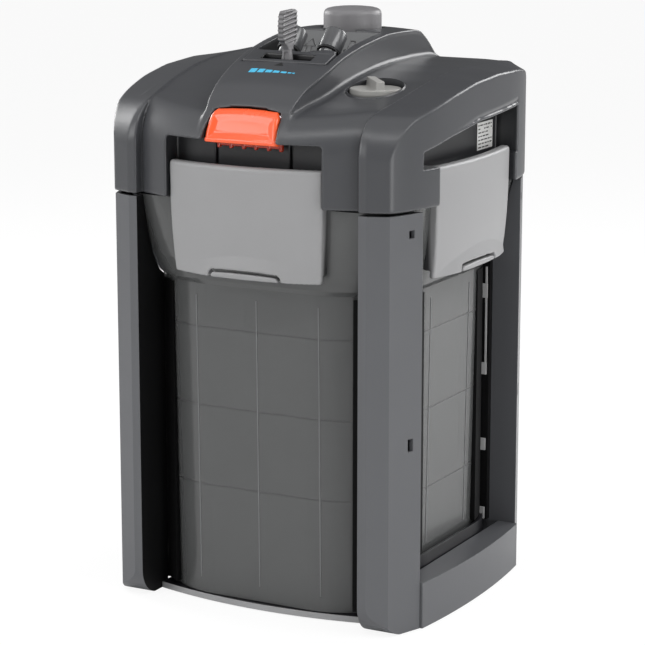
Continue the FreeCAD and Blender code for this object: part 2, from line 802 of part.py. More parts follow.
pin_half = size("recess_half")
pin_len = 2 * pin_half + 4.4
pins = [
    rod("pin_r", pin_len, (-pin_half - 2.2, size("hinge_y") * side, "hinge_z"), Y_AXIS, 90)
    for side in BOTH
]
pins += [
    rod("pin_r", pin_len + 4.6, (size("hinge_x") * side, pin_half + 4.5, "hinge_z"), X_AXIS, 90)
    for side in BOTH
]
keep(group(*pins), "clip_pins")

# ------------------------------------------------------------------ release latch
# A flap at the front of the ridge. Height, half width, front y, rear y.
FLAP = [
    (319.5, 26.5, -115.6, -108.2),
    (322.5, 26.4, -115.8, -108.2),
    (328.0, 25.6, -113.8, -108.0),
    (334.0, 24.8, -111.2, -106.0),
    (338.0, 24.0, -109.2, -103.6),
    (340.4, 21.6, -107.2, -102.6),
]
TEETH_X = (-23, -14, -4.5, 4.5, 14, 23)


def make_latch():
    y, z = -dim.latch_pin_y, dim.latch_pin_z
    eye = solid_cyl(3.2, 44, (-22, y, z), X_AXIS)
    comb = fuse_shapes([
        solid_box(x - 1.1, x + 1.1, -103.2, -99.5, 313.6, 334.0) for x in TEETH_X
    ])
    bar = solid_box(-24.1, 24.1, -102.4, -99.8, 315.4, 326.0)
    latch = fuse_shapes([rect_loft(FLAP), eye, comb, bar])
    latch = latch.cut(solid_cyl(dim.latch_pin_r + dim.run_gap, 80, (-40, y, z), X_AXIS))
    return latch.removeSplitter()


feature(make_latch(), "release_latch")
keep(
    rod("latch_pin_r", 57.6, (-28.8, -size("latch_pin_y"), "latch_pin_z"), Y_AXIS, 90),
    "latch_pin",
)

# ------------------------------------------------------------------ console
# Section (y, z) of the panel in front of the bay, with a slot for the flow lever.
PANEL_PROFILE = [
    (-57.0, 364.3), (-57.0, 366.9), (-49.0, 371.3), (-42.1, 372.3), (-42.1, 369.7), (-48.5, 368.7)
]
panel = prism_yz(PANEL_PROFILE, -31.2, 31.2)
feature(panel.cut(solid_box(-18.5, 18.5, -54.1, -46.9, 350, 380)), "console_panel")

# Flow scale: shrinking marks and an arrow, lying on one sloping stretch of the ridge roof.
MARK_HEIGHT = 0.3
MARK_Y, ARROW_Y = -72.0, -65.0
(slope_y, slope_z), (slope_end_y, slope_end_z) = RIDGE_TOP[6:8]
slope_rate = (slope_end_z - slope_z) / (slope_end_y - slope_y)
slope_angle = math.degrees(math.atan(slope_rate))


def above_slope(y):
    return slope_z + (y - slope_y) * slope_rate + 0.05


marks = [
    place(
        box(0, 3.9 - 0.25 * i, 0, 4.2 - 0.5 * i, 0, MARK_HEIGHT),
        (-17.5 + 5.0 * i, MARK_Y, above_slope(MARK_Y)), X_AXIS, slope_angle,
    )
    for i in range(7)
]
arrow = prism([Vector(-1.7, 0, 0), Vector(1.7, 0, 0), Vector(0, 2.6, 0)],
              Vector(0, 0, MARK_HEIGHT))
arrow.rotate(Vector(0, 0, 0), Vector(*X_AXIS), slope_angle)
arrow.translate(Vector(0, ARROW_Y, above_slope(ARROW_Y)))
keep(group(*marks, feature(arrow)), "flow_scale")

# ------------------------------------------------------------------ hose connector block
# The nozzles point up and back at 45 degrees.
NOZZLE_Y, NOZZLE_Z = -31.0, 362.0
NECK_LEN = 12.0
RING_AT = 11.2  # along the nozzle axis
DIAGONAL = math.sqrt(0.5)
# Section (y, z) of the block.
ADAPTER_PROFILE = [
    (-46.0, 341.0), (-46.0, 364.5), (-37.0, 364.9), (-33.5, 361.0),
    (-4.0, 359.5), (17.6, 380.0), (21.4, 380.0), (21.4, 341.0),
]


def make_adapter():
    block = prism_yz(ADAPTER_PROFILE, -31.0, 31.0)
    block = block.cut(solid_cyl(dim.knob_r + 2.0, 80, (0, dim.knob_y, 330)))
    along = Vector(0, DIAGONAL, DIAGONAL)
    for side in BOTH:
        base = Vector(side * dim.hose_x, NOZZLE_Y, NOZZLE_Z)
        block = cut_shapes(block, [
            solid_cyl(dim.neck_r + 0.02, 60, base - along * 6.0, along),
            solid_cyl(dim.hose_r + 0.4, 40, base + along * 10.2, along),
            solid_cyl(dim.hose_r + 3.0, 40, base + along * 12.1, along),
            # riser hole from below
            solid_cyl(4.6, 40, base - along * 8.0 - Vector(0, 0, 34)),
        ])
    # Spindle bore and the room for its disc.
    spindle = (0, -46.1, dim.lever_z)
    block = block.cut(solid_cyl(dim.spindle_r + dim.run_gap, 14.4, spindle, Y_AXIS))
    return block.cut(solid_cyl(11.5, 5.2, spindle, Y_AXIS)).removeSplitter()


feature(make_adapter(), "hose_adapter")

hose_r, nozzle_end = size("hose_r"), size("hose_len") + NECK_LEN
NOZZLE_OUTLINE = [
    ("hose_bore", 0), ("neck_r", 0), ("neck_r", NECK_LEN), (hose_r, NECK_LEN),
    (hose_r, nozzle_end - 0.8), (hose_r - 0.8, nozzle_end), ("hose_bore", nozzle_end),
]
for name, side in (("inlet", -1), ("outlet", 1)):
    nozzle = turned(NOZZLE_OUTLINE, (size("hose_x") * side, NOZZLE_Y, NOZZLE_Z), X_AXIS, -45)
    keep(nozzle, "nozzle_" + name)

ring_rise = RING_AT * DIAGONAL
keep(group(*[
    torus(
        size("neck_r") + 0.75, 0.7,
        (size("hose_x") * side, NOZZLE_Y + ring_rise, NOZZLE_Z + ring_rise), X_AXIS, -45,
    )
    for side in BOTH
]), "nozzle_rings")


# ------------------------------------------------------------------ flow lever
def make_lever():
    pivot, y = dim.lever_z, -dim.lever_y
    stem = rect_loft([
        (pivot + rise, half, y - 3.2, y + 3.2)
        for rise, half in ((2.0, 5.4), (17.0, 4.4), (26.0, 1.6))
    ])
    paddle = rect_loft([
        (pivot + 24.6, 1.4, y - 3.2, y + 3.2),
        (pivot + 27.4, 1.8, y - 9.4, y + 8.6),
        (pivot + 46.0, 1.6, y - 9.8, y + 9.0),
        (dim.overall_height, 1.0, y - 8.4, y + 7.4),
    ])
    lever = stem.fuse(paddle)
    # Grip ribs on both faces of the paddle.
    for i in range(7):
        z = pivot + 27.6 + 2.75 * i
        for side in BOTH:
            lever = lever.fuse(solid_box(*span(side, 1.3, 2.2), y - 9.2, y + 8.4, z, z + 1.4))
    lever = lever.fuse(solid_cyl(7.4, 8.0, (0, y - 4.0, pivot), Y_AXIS))
    lever = lever.cut(solid_cyl(dim.spindle_r, 20, (0, y - 10.0, pivot), Y_AXIS))
    return lever.removeSplitter()


feature(make_lever(), "flow_lever")
SPINDLE_OUTLINE = [
    (0, 0), ("spindle_r", 0), ("spindle_r", 9.4), (10.6, 9.4),
    (10.6, 12.8), ("spindle_r", 12.8), ("spindle_r", 22.0), (0, 22.0),
]
keep(
    turned(SPINDLE_OUTLINE, (0, -size("lever_y") - 4.0, "lever_z"), X_AXIS, -90),
    "valve_spindle",
)

# ------------------------------------------------------------------ priming pump
PISTON_LOW = 330.0
ROD_TOP = 37.8  # above the underside of the piston

knob_r, knob_tall = size("knob_r"), size("knob_top") - "knob_low"
keep(turned([
    (0, 4.0), ("rod_r", 4.0), ("rod_r", knob_tall - 4.0), (knob_r - 2.4, knob_tall - 4.0),
    (knob_r - 2.4, 0), (knob_r, 0), (knob_r, knob_tall - 3.2), (knob_r - 0.9, knob_tall - 1.3),
    (knob_r - 3.4, knob_tall - 0.5), (0, knob_tall),
], at=(0, "knob_y", "knob_low")), "priming_knob")

groove_r = size("piston_r") - 1.6
keep(turned([
    (0, 0), ("piston_r", 0), ("piston_r", 2.0), (groove_r, 2.0), (groove_r, 4.6),
    ("piston_r", 4.6), ("piston_r", 6.6), ("rod_r", 6.6), ("rod_r", ROD_TOP), (0, ROD_TOP),
], at=(0, "knob_y", PISTON_LOW)), "priming_piston")
keep(torus(size("piston_r") - 0.45, 1.15, (0, "knob_y", PISTON_LOW + 3.3)), "piston_seal")

# The spring between barrel and knob, as a stack of tilted coils.
keep(group(*[
    torus(9.0, 0.8, (0, "knob_y", 360.6 + 3.9 * i), X_AXIS, 8 if i % 2 else -8)
    for i in range(8)
]), "priming_spring")

# ------------------------------------------------------------------ bypass dial
dial_disc = solid_cyl(dim.dial_r, 6.0, dial_face - Vector(0, 0, 5.6))
grip_half = dim.dial_r - 0.6
grip = solid_box(-grip_half, grip_half, -3.0, 3.0, 0, 9.6)
grip.rotate(Vector(0, 0, 0), Vector(0, 0, 1), 128)
grip.translate(dial_face - Vector(0, 0, 3.6))
feature(dial_disc.fuse(grip).removeSplitter(), "bypass_dial")
keep(rod(STEM_R, 11.6, ("dial_x", -size("dial_y"), size("dial_z") - 17.2)), "bypass_stem")

bezel_in, bezel_out = size("dial_r") + 1.4, size("bezel_r")
keep(turned([
    (bezel_in, 0), (bezel_out, 0), (bezel_out, 5.2), (bezel_out - 0.8, 6.2),
    (bezel_out - 1.2, 6.2), (bezel_in, 4.4),
], dial_face - dial_axis * 5.7, X_AXIS, dim.dial_tilt), "dial_bezel")


# ------------------------------------------------------------------ pump head body
def tube(outer_r, height, bore_r, bore_height, x, y, low, bore_low):
    """An upright tube; a bore that ends short of the top leaves it closed."""
    outer = solid_cyl(outer_r, height, (x, y, low))
    return outer.cut(solid_cyl(bore_r, bore_height, (x, y, bore_low)))


def make_head_body():
    pump_y, knob_y = -dim.pump_y, dim.knob_y
    can_r, barrel_r = dim.can_r, dim.barrel_r
    risers = [(dim.hose_x, -6.0), (-dim.hose_x, -6.0)]
    flange = stack([(z, 107.0, 101.0, 38.0) for z in (279.4, 282.6)])
    plug = stack([(262.0, 101.0, 97.0, 42.0), (279.6, 104.4, 99.6, 38.6)])
    plug = plug.cut(stack([(261.0, 98.0, 94.0, 39.0), (279.4, 101.0, 96.4, 35.6)]))
    seal_groove = stack([(z, 110.0, 106.0, 42.0) for z in (269.0, 273.4)])
    seal_groove = seal_groove.cut(stack([(268.0, 100.4, 96.4, 40.4), (274.4, 101.4, 97.2, 39.4)]))
    chamber = tube(24.0, 36.0, 21.6, 35.4, 0, pump_y, 244.0, 243.0)
    can = tube(can_r + 1.6, 42.0, can_r, 40.4, 0, pump_y, 279.6, 279.0)
    barrel = tube(barrel_r + 2.4, 70.0, barrel_r, 66.0, 0, knob_y, 282.0, 290.0)
    barrel_lid = tube(barrel_r + 2.4, 5.6, dim.rod_r + 0.05, 10.0, 0, knob_y, 352.0, 350.0)
    core = fuse_shapes([flange.fuse(plug).cut(seal_groove), chamber, can, barrel, barrel_lid]
                       + [solid_cyl(6.4, 54.4, (x, y, 280.0)) for x, y in risers])
    core = cut_shapes(core, [
        # open the can down through the flange
        solid_cyl(can_r, 4.0, (0, pump_y, 278.0)),
        solid_cyl(can_r, 10.0, (0, pump_y, 276.0)),
        *[solid_cyl(4.6, 70.0, (x, y, 272.0)) for x, y in risers],
        solid_cyl(dim.duct_r + 0.4, 6.0, (0, dim.duct_y, 278.6)),
        *[solid_cyl(2.3, 8.0, (x, y, 278.0)) for x, y in BOSSES],
    ])
    # Seat of the upper shaft bush.
    seat = tube(3.6, 6.4, 3.0, 6.0, 0, pump_y, 313.6, 313.0)
    return largest(core.fuse(seat).removeSplitter())


feature(make_head_body(), "head_body")

seal = stack([(269.3, 102.5, 98.6, 41.0), (271.2, 103.0, 99.4, 41.2), (273.1, 102.6, 98.6, 40.8)])
seal = seal.cut(stack([(268.0, 100.6, 96.6, 40.6), (274.4, 101.6, 97.4, 39.6)]))
feature(seal, "head_seal")

SCREW_OUTLINE = [(0, 0), (3.6, 0), (3.6, 2.0), (2.2, 2.0), (2.2, 11.0), (0, 11.0)]
keep(group(*[turned(SCREW_OUTLINE, at=(x, y, 277.2)) for x, y in BOSSES]), "head_screws")

# ------------------------------------------------------------------ motor and impeller
SHAFT_LOW = 243.6
pump_centre = -size("pump_y")
shaft_bore = size("shaft_r") + 0.05


def on_pump(z):
    """A point on the motor axis."""
    return (0, pump_centre, z)


keep(cut(
    box(-25, 25, pump_centre - 20, pump_centre + 20, 284.0, 314.0),
    cyl(size("can_r") + 1.8, 60, on_pump(270)),
), "stator")
keep(turned(
    [(shaft_bore, 0), ("rotor_r", 0), ("rotor_r", 31.0), (shaft_bore, 31.0)], on_pump(280.5)
), "rotor_magnet")

vane_disc = cut(cyl("impeller_r", 2.0, on_pump(264.6)), cyl(shaft_bore, 10, on_pump(260)))
hub_tube = cut(cyl(4.4, 29.9, on_pump(250.5)), cyl(shaft_bore, 40, on_pump(249)))
VANE_START = 4.0  # distance of a vane's inner end from the axis
vanes = []
for i in range(6):
    turn = math.radians(60 * i)
    start = (
        VANE_START * math.cos(turn), VANE_START * math.sin(turn) - dim.pump_y, 252.4
    )
    vane = box(0, size("impeller_r") - 4.8, 0, 1.4, 0, 12.4)
    vanes.append(place(vane, start, Z_AXIS, 60 * i))
keep(
    cut(fuse(vane_disc, hub_tube, *vanes), cyl(shaft_bore, 60, on_pump(240))), "impeller"
)
keep(rod("shaft_r", 74.0, on_pump(SHAFT_LOW)), "impeller_shaft")
keep(group(
    rod(2.95, 5.2, on_pump(313.7), bore="shaft_r"),
    rod(2.95, 4.0, on_pump(SHAFT_LOW), bore="shaft_r"),
), "shaft_bushes")

COVER_OUTLINE = [(3.05, 0), (23.9, 0), (23.9, 3.8), (21.4, 3.8), (21.4, 3.0), (3.05, 3.0)]
inlet_slots = [
    box(*span(side, 7.0, 17.0), pump_centre + y - 1.2, pump_centre + y + 1.2, 235, 246)
    for side in (1, -1) for y in (-5.0, 0.0, 5.0)
]
keep(cut(
    fuse(turned(COVER_OUTLINE, on_pump(240.1)), cyl(5.0, 4.4, on_pump(243.1))),
    cyl(3.0, 20, on_pump(236.0)),
    *inlet_slots,
), "impeller_cover")


# ------------------------------------------------------------------ baskets and media
def basket_stack(sections):
    """Stack in the basket plan: (z, inset of the sides, inset of the corner radius)."""
    return stack([
        (z, dim.basket_half_x - inset, dim.basket_half_y - inset, dim.basket_corner_r - round_in)
        for z, inset, round_in in sections
    ], shift_y=-dim.basket_shift)


def basket(label, low, height, ribs=True):
    top, centre_y = low + height, -dim.basket_shift
    tub = basket_stack([(low, 0.6, 0.0), (top, 0.0, 0.0)])
    tub = tub.cut(basket_stack([(low + 2.0, 2.6, 2.0), (top + 1.0, 2.0, 2.0)]))
    lip = basket_stack([(top - 2.0, -1.4, -1.4), (top, -1.4, -1.4)])
    lip = lip.cut(basket_stack([(top - 3.0, 1.0, 1.0), (top + 1.0, 1.0, 1.0)]))
    tub = tub.fuse(lip)
    if ribs:
        radius = dim.basket_corner_r
        flat_x, flat_y = dim.basket_half_x - radius, dim.basket_half_y - radius
        for x in (-dim.rib_x, 0.0, dim.rib_x):
            # A rib beyond the flat front follows the rounded corner.
            past = max(abs(x) - flat_x, 0.0)
            front = centre_y - flat_y - math.sqrt(radius ** 2 - past ** 2) - 1.3
            tub = tub.fuse(solid_box(x - 0.8, x + 0.8, front, front + 2.4, low + 0.4, top))
    # Slots through the floor.
    for i in range(-4, 5):
        y = centre_y + 15 * i
        tub = tub.cut(solid_box(-62, 62, y - 2.2, y + 2.2, low - 1, low + 3))
    feature(tub.removeSplitter(), label)


def tier_low(tier):
    return dim.basket_low + tier * dim.basket_step


for tier, name in enumerate(("lower", "middle", "upper")):
    basket("media_basket_" + name, tier_low(tier), dim.basket_step - 0.4)
basket("prefilter_basket", tier_low(3), 26.0, ribs=False)

# Label, basket counted from the bottom, underside and top above that basket's underside.
for label, tier, low, top in (
    ("media_rings", 0, 2.4, dim.basket_step - 8.0),
    ("media_substrate", 1, 2.4, dim.basket_step - 8.0),
    ("filter_pad_coarse", 2, 2.4, 30.0),
    ("filter_pad_fine", 2, 30.6, dim.basket_step - 10.0),
    ("prefilter_foam", 3, 2.4, 23.0),
):
    base = tier_low(tier)
    feature(basket_stack([(base + low, 3.8, 3.4), (base + top, 3.8, 3.4)]), label)

# A flat rectangular frame below the top of each media basket.
basket_centre = -size("basket_shift")
handles = []
for tier in (1, 2, 3):
    z = tier_low(tier) - 4.2
    handles.append(cut(
        box(-40, 40, basket_centre - 12, basket_centre + 12, z - 2.2, z),
        box(-36, 36, basket_centre - 8, basket_centre + 8, z - 5, z + 3),
    ))
keep(group(*handles), "basket_handles")

# Intake duct down the rear of the container.
keep(rod("duct_r", 262.0, (0, "duct_y", 16.6), bore=size("duct_r") - 1.8), "intake_duct")

# ------------------------------------------------------------------ corner liners
# Strips that close the gap between the rounded container corner and the post,
# each with an upright bar that carries small blocks.
LINER_TOP = 220.0
# Underside and height of the blocks on a bar.
BAR_BLOCKS = [(194.0, 10.0), (139.0, 8.5), (84.0, 8.5), (33.5, 8.5)]


def make_liners():
    ring = stack([(z, 97.0, 96.0, 59.0) for z in (8.0, 219.0)]).cut(stack(SHELL[:2], 0.12))
    liners = []
    for side_x in BOTH:
        for side_y in BOTH:

            def corner_box(near_x, far_x, near_y, far_y, low, top):
                x_span, y_span = span(side_x, near_x, far_x), span(side_y, near_y, far_y)
                return solid_box(*x_span, *y_span, low, top)

            strip = ring.common(corner_box(68.0, 97.2, 42.0, 96.2, 7.0, LINER_TOP))
            # Room for the side guide of the base tray.
            strip = strip.cut(corner_box(60, 100, 41.0, 62.6, 6.0, dim.guide_top + 0.8))
            bar = corner_box(86.2, 92.6, 71.6, 76.2, 33.0, LINER_TOP)
            for low, height in BAR_BLOCKS:
                bar = bar.fuse(corner_box(87.2, 91.0, 70.4, 71.6, low, low + height))
            bar = bar.fuse(corner_box(89.6, 90.8, 70.8, 71.6, 147.0, 216.0))
            liners += [strip.Solids[0], bar.removeSplitter()]
    return Part.makeCompound(liners)


feature(make_liners(), "corner_liners")

# ------------------------------------------------------------------ cable, gland, label
GLAND_BORE = 3.3
keep(turned([
    (GLAND_BORE, 0), (5.6, 0), (5.6, 2.0), (GLAND_R, 2.0), (GLAND_R, 9.0), (4.0, 12.6),
    (GLAND_BORE, 12.6),
], (CABLE_X, 99.2, CABLE_Z), X_AXIS, -90), "cable_gland")
keep(rod("cable_r", 47.8, (CABLE_X, 70.0, CABLE_Z), X_AXIS, -90), "power_cable")

# The label lies on the back wall of the right recess.
label_back = size("recess_back_x")
keep(box(label_back + 0.03, label_back + 0.35, 32.4, 57.0, 303.0, 321.6), "rating_label")

# ------------------------------------------------------------------ check and write
doc.recompute()
for obj in doc.Objects:
    if "Invalid" in obj.State or "Error" in obj.State:
        raise RuntimeError("%s (%s) failed: %s" % (obj.Name, obj.Label, obj.State))
names, bad = set(), []
for part in PARTS:
    if part.Label in names:
        raise RuntimeError("two parts are called " + part.Label)
    names.add(part.Label)
    if part.Shape.isNull() or not part.Shape.isValid() or not part.Shape.Solids:
        bad.append(part.Label)
if bad:
    raise RuntimeError("no valid solid in " + ", ".join(bad))
for part in PARTS:
    part.Shape.exportStep("parts/%s.step" % part.Label)
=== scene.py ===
"""A canister filter for aquariums: smoked container, clips and a head with its controls.

It stands on Z = 0, up is +Z, the front faces -Y and the right side faces +X.
Shapes are worked out in millimetres; mesh_object turns them into metres.
Moulded pieces are distance fields: functions of x, y, z that are negative inside.
"""

import json
import math

import bmesh
import bpy
import numpy as np
from mathutils import Matrix, Vector

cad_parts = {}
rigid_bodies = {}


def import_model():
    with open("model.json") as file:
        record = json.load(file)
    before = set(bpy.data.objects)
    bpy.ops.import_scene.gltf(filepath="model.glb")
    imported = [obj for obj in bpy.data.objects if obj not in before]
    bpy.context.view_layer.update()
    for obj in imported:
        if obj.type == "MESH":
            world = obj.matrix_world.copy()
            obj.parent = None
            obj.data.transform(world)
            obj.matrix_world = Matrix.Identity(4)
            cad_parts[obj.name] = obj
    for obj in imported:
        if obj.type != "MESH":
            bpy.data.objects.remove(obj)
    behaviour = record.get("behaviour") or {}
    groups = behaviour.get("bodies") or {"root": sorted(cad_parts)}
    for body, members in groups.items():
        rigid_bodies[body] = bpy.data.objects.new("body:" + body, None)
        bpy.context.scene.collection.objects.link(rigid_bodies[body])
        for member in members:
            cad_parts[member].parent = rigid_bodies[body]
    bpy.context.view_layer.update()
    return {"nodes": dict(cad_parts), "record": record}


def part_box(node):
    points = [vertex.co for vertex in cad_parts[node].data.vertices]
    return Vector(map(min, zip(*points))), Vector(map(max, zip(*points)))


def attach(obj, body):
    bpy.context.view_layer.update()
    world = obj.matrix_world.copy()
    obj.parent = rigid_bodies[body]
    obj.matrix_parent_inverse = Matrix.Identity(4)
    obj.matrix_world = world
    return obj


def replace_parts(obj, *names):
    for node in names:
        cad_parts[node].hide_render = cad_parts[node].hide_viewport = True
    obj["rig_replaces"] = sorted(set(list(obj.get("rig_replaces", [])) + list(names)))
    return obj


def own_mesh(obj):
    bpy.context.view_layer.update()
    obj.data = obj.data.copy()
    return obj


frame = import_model()
NODES = frame["nodes"]
MM = 0.001

# Places shared by several pieces
KNOB_Y = 41
DIAL_X, DIAL_Y = 61.0, -43.7
LEVER_AXIS_Z = 352
NOZZLE_X, NOZZLE_Y, NOZZLE_Z = 15, -31, 362  # foot of a nozzle, on either side of X = 0


# ---------------------------------------------------------------- distance fields
def outer(*parts):
    """Length of the positive parts of some distances."""
    return np.sqrt(sum(np.maximum(part, 0) ** 2 for part in parts))


def both(first, second, radius=0.0):
    """Where two shapes overlap, with a rounded edge."""
    worst = np.maximum(first, second)
    if radius <= 0:
        return worst
    return np.minimum(-radius, worst) + outer(radius + first, radius + second)


def either(first, second, radius=0.0):
    """Two shapes together, with a filleted inner corner."""
    nearest = np.minimum(first, second)
    if radius <= 0:
        return nearest
    return np.maximum(radius, nearest) - outer(radius - first, radius - second)


def less(whole, cut, radius=0.0):
    return both(whole, -cut, radius)


def box(place, centre, half, radius=0.0):
    """A rounded rectangle or box, in as many directions as place has."""
    gaps = [np.abs(p - c) - h + radius for p, c, h in zip(place, centre, half)]
    return outer(*gaps) + np.minimum(np.maximum.reduce(gaps), 0) - radius


def polygon(across, up, points):
    """Signed distance to a closed polygon."""
    nearest = np.full(across.shape, 1e9)
    sign = np.ones(across.shape)
    for (here_x, here_y), (last_x, last_y) in zip(points, points[-1:] + points[:-1]):
        edge_x, edge_y = last_x - here_x, last_y - here_y
        off_x, off_y = across - here_x, up - here_y
        along = (off_x * edge_x + off_y * edge_y) / (edge_x * edge_x + edge_y * edge_y)
        along = np.clip(along, 0, 1)
        gap_x, gap_y = off_x - edge_x * along, off_y - edge_y * along
        nearest = np.minimum(nearest, gap_x * gap_x + gap_y * gap_y)
        above, below = up >= here_y, up < last_y
        beside = edge_x * off_y > edge_y * off_x
        flip = (above & below & beside) | (~above & ~below & ~beside)
        sign = np.where(flip, -sign, sign)
    return sign * np.sqrt(nearest)


def curve(points, soft):
    """A smooth function through (station, value) points: the straight-line fit, blurred."""
    xs, ys = np.array(points, float).T
    line = np.arange(xs[0] - 40, xs[-1] + 40, 0.5)
    fit = np.interp(line, xs, ys)
    left = ys[0] + (line - xs[0]) * (ys[1] - ys[0]) / (xs[1] - xs[0])
    right = ys[-1] + (line - xs[-1]) * (ys[-1] - ys[-2]) / (xs[-1] - xs[-2])
    fit = np.where(line < xs[0], left, np.where(line > xs[-1], right, fit))
    kernel = np.exp(-0.5 * (np.arange(-60, 61) * 0.5 / soft) ** 2)
    kernel /= kernel.sum()
    fit = np.convolve(np.pad(fit, 60, mode="edge"), kernel, mode="valid")
    return lambda at: np.interp(at, line, fit)


def steepness(function, at, extra=0.0):
    """Scales a height above a curve down to a distance from it."""
    reach = 0.6
    slope = (function(at + reach) - function(at - reach)) / (2 * reach)
    return np.sqrt(1 + slope ** 2 + extra)


def ease(amount):
    return amount * amount * (3 - 2 * amount)


# ---------------------------------------------------------------- meshes from fields
BLOCK = 9  # cells along a block; blocks far from the surface aren't sampled
CORNERS = [(i, j, k) for k in (0, 1) for j in (0, 1) for i in (0, 1)]


def lattice(counts):
    axes = [np.arange(count) for count in counts]
    return np.stack(np.meshgrid(*axes, indexing="ij"), -1).reshape(-1, 3)


def sample(field, low, high, step):
    """Field values on a grid, exact only in blocks near the surface."""
    counts = np.ceil((np.array(high, float) - low) / step).astype(int) + 1
    blocks = np.ceil(counts / BLOCK).astype(int)
    volume = np.ones(blocks * BLOCK + 1, np.float32)
    grid = lattice(blocks)
    middle = field(*(low + (grid + 0.5) * BLOCK * step).T)
    reach = BLOCK * step * 0.5 * math.sqrt(3) * 1.35
    for block in grid[middle <= -reach]:
        volume[tuple(slice(i * BLOCK, i * BLOCK + BLOCK + 1) for i in block)] = -1
    offsets = lattice([BLOCK + 1] * 3)
    near = grid[np.abs(middle) < reach]
    for i in range(0, len(near), 200):
        spots = (near[i : i + 200][:, None, :] * BLOCK + offsets[None]).reshape(-1, 3)
        volume[tuple(spots.T)] = field(*(low + spots * step).T)
    return volume


def crossing_means(volume, cells):
    """For each cell, the mean of the places where its edges cross the surface."""
    total = np.zeros((len(cells), 3))
    count = np.zeros(len(cells))
    values = [volume[tuple((cells + corner).T)] for corner in CORNERS]
    for i in range(8):
        for j in range(i + 1, 8):
            start, end = np.array(CORNERS[i], float), np.array(CORNERS[j], float)
            if np.abs(start - end).sum() != 1:
                continue
            cross = (values[i] < 0) != (values[j] < 0)
            part = values[i][cross] / (values[i][cross] - values[j][cross])
            total[cross] += start + part[:, None] * (end - start)
            count[cross] += 1
    return total / count[:, None]


def settle(verts, field, step):
    """Moves vertices onto the zero surface, at most half a cell at a time."""
    nudge = 0.12 * step
    for _ in range(3):
        value = field(*verts.T)
        slopes = np.stack([
            (field(*(verts + move).T) - field(*(verts - move).T)) / (2 * nudge)
            for move in nudge * np.eye(3)
        ], 1)
        move = value[:, None] * slopes / np.maximum((slopes * slopes).sum(1), 0.2)[:, None]
        length = np.sqrt((move * move).sum(1))
        verts = verts - move * np.minimum(1, 0.5 * step / np.maximum(length, 1e-9))[:, None]
    return verts


def surface_quads(inside, index):
    """One quad round every grid edge that crosses the surface."""
    cells = index.shape
    quads = []
    for axis in range(3):
        side, rise = (axis + 1) % 3, (axis + 2) % 3
        start = inside.take(range(0, cells[axis]), axis)
        end = inside.take(range(1, cells[axis] + 1), axis)
        edges = np.argwhere(start != end)
        kept = (edges[:, side] > 0) & (edges[:, rise] > 0)
        kept &= (edges[:, side] < cells[side]) & (edges[:, rise] < cells[rise])
        edges = edges[kept]
        quad = []
        for i, j in ((-1, -1), (0, -1), (0, 0), (-1, 0)):
            cell = edges.copy()
            cell[:, side] += i
            cell[:, rise] += j
            quad.append(index[tuple(cell.T)])
        quad = np.stack(quad, 1)
        flip = ~start[tuple(edges.T)]
        quad[flip] = quad[flip][:, ::-1]
        quads.append(quad)
    return np.concatenate(quads)


def moulded(name, field, low, high, full):
    """A closed quad mesh of a field's zero surface, and its x, y, z in millimetres.

    full is the cell size.
    """
    step = full
    low = np.array(low, float)
    volume = sample(field, low, high, step)
    inside = volume < 0
    shape = np.array(volume.shape) - 1
    some = np.zeros(shape, bool)
    every = np.ones(shape, bool)
    for corner in CORNERS:
        part = inside[tuple(slice(i, i + size) for i, size in zip(corner, shape))]
        some |= part
        every &= part
    active = some & ~every
    cells = np.argwhere(active)
    index = np.full(shape, -1, np.int64)
    index[active] = np.arange(len(cells))
    verts = low + (cells + crossing_means(volume, cells)) * step
    obj = mesh_object(name, settle(verts, field, step), surface_quads(inside, index))
    place = np.empty(len(obj.data.vertices) * 3, np.float32)
    obj.data.vertices.foreach_get("co", place)
    return obj, *(place.reshape(-1, 3).astype(float) / MM).T


# ---------------------------------------------------------------- plain meshes
def mesh_object(name, verts, faces, smooth=True):
    """An object from vertices in millimetres; faces are an array or a list of tuples."""
    mesh = bpy.data.meshes.new(name)
    verts = np.asarray(verts, float) * MM
    if isinstance(faces, np.ndarray):
        sides = faces.shape[1]
        mesh.vertices.add(len(verts))
        mesh.vertices.foreach_set("co", verts.astype(np.float32).ravel())
        mesh.loops.add(faces.size)
        mesh.loops.foreach_set("vertex_index", faces.astype(np.int32).ravel())
        mesh.polygons.add(len(faces))
        starts = np.arange(0, faces.size, sides, dtype=np.int32)
        mesh.polygons.foreach_set("loop_start", starts)
        mesh.polygons.foreach_set("loop_total", np.full(len(faces), sides, np.int32))
        mesh.update(calc_edges=True)
        mesh.validate()
    else:
        mesh.from_pydata([tuple(vert) for vert in verts], [], faces)
        mesh.update()
    if smooth:
        mesh.polygons.foreach_set("use_smooth", np.ones(len(mesh.polygons), bool))
    obj = bpy.data.objects.new(name, mesh)
    bpy.context.scene.collection.objects.link(obj)
    return obj


def clean(obj):
    mesh = bmesh.new()
    mesh.from_mesh(obj.data)
    bmesh.ops.remove_doubles(mesh, verts=mesh.verts, dist=1e-6)
    bmesh.ops.dissolve_degenerate(mesh, edges=mesh.edges, dist=1e-6)
    bmesh.ops.recalc_face_normals(mesh, faces=mesh.faces)
    mesh.to_mesh(obj.data)
    mesh.free()
    obj.data.update()


def ring_points(radius, z, segments):
    angles = [2 * math.pi * i / segments for i in range(segments)]
    return [(radius * math.cos(angle), radius * math.sin(angle), z) for angle in angles]


def ring_faces(rings, segments):
    """Quads between rings of points, the last ring joined to the first."""
    faces = []
    for j in range(rings):
        here, after = j * segments, (j + 1) % rings * segments
        for i in range(segments):
            i2 = (i + 1) % segments
            faces.append((here + i, here + i2, after + i2, after + i))
    return faces


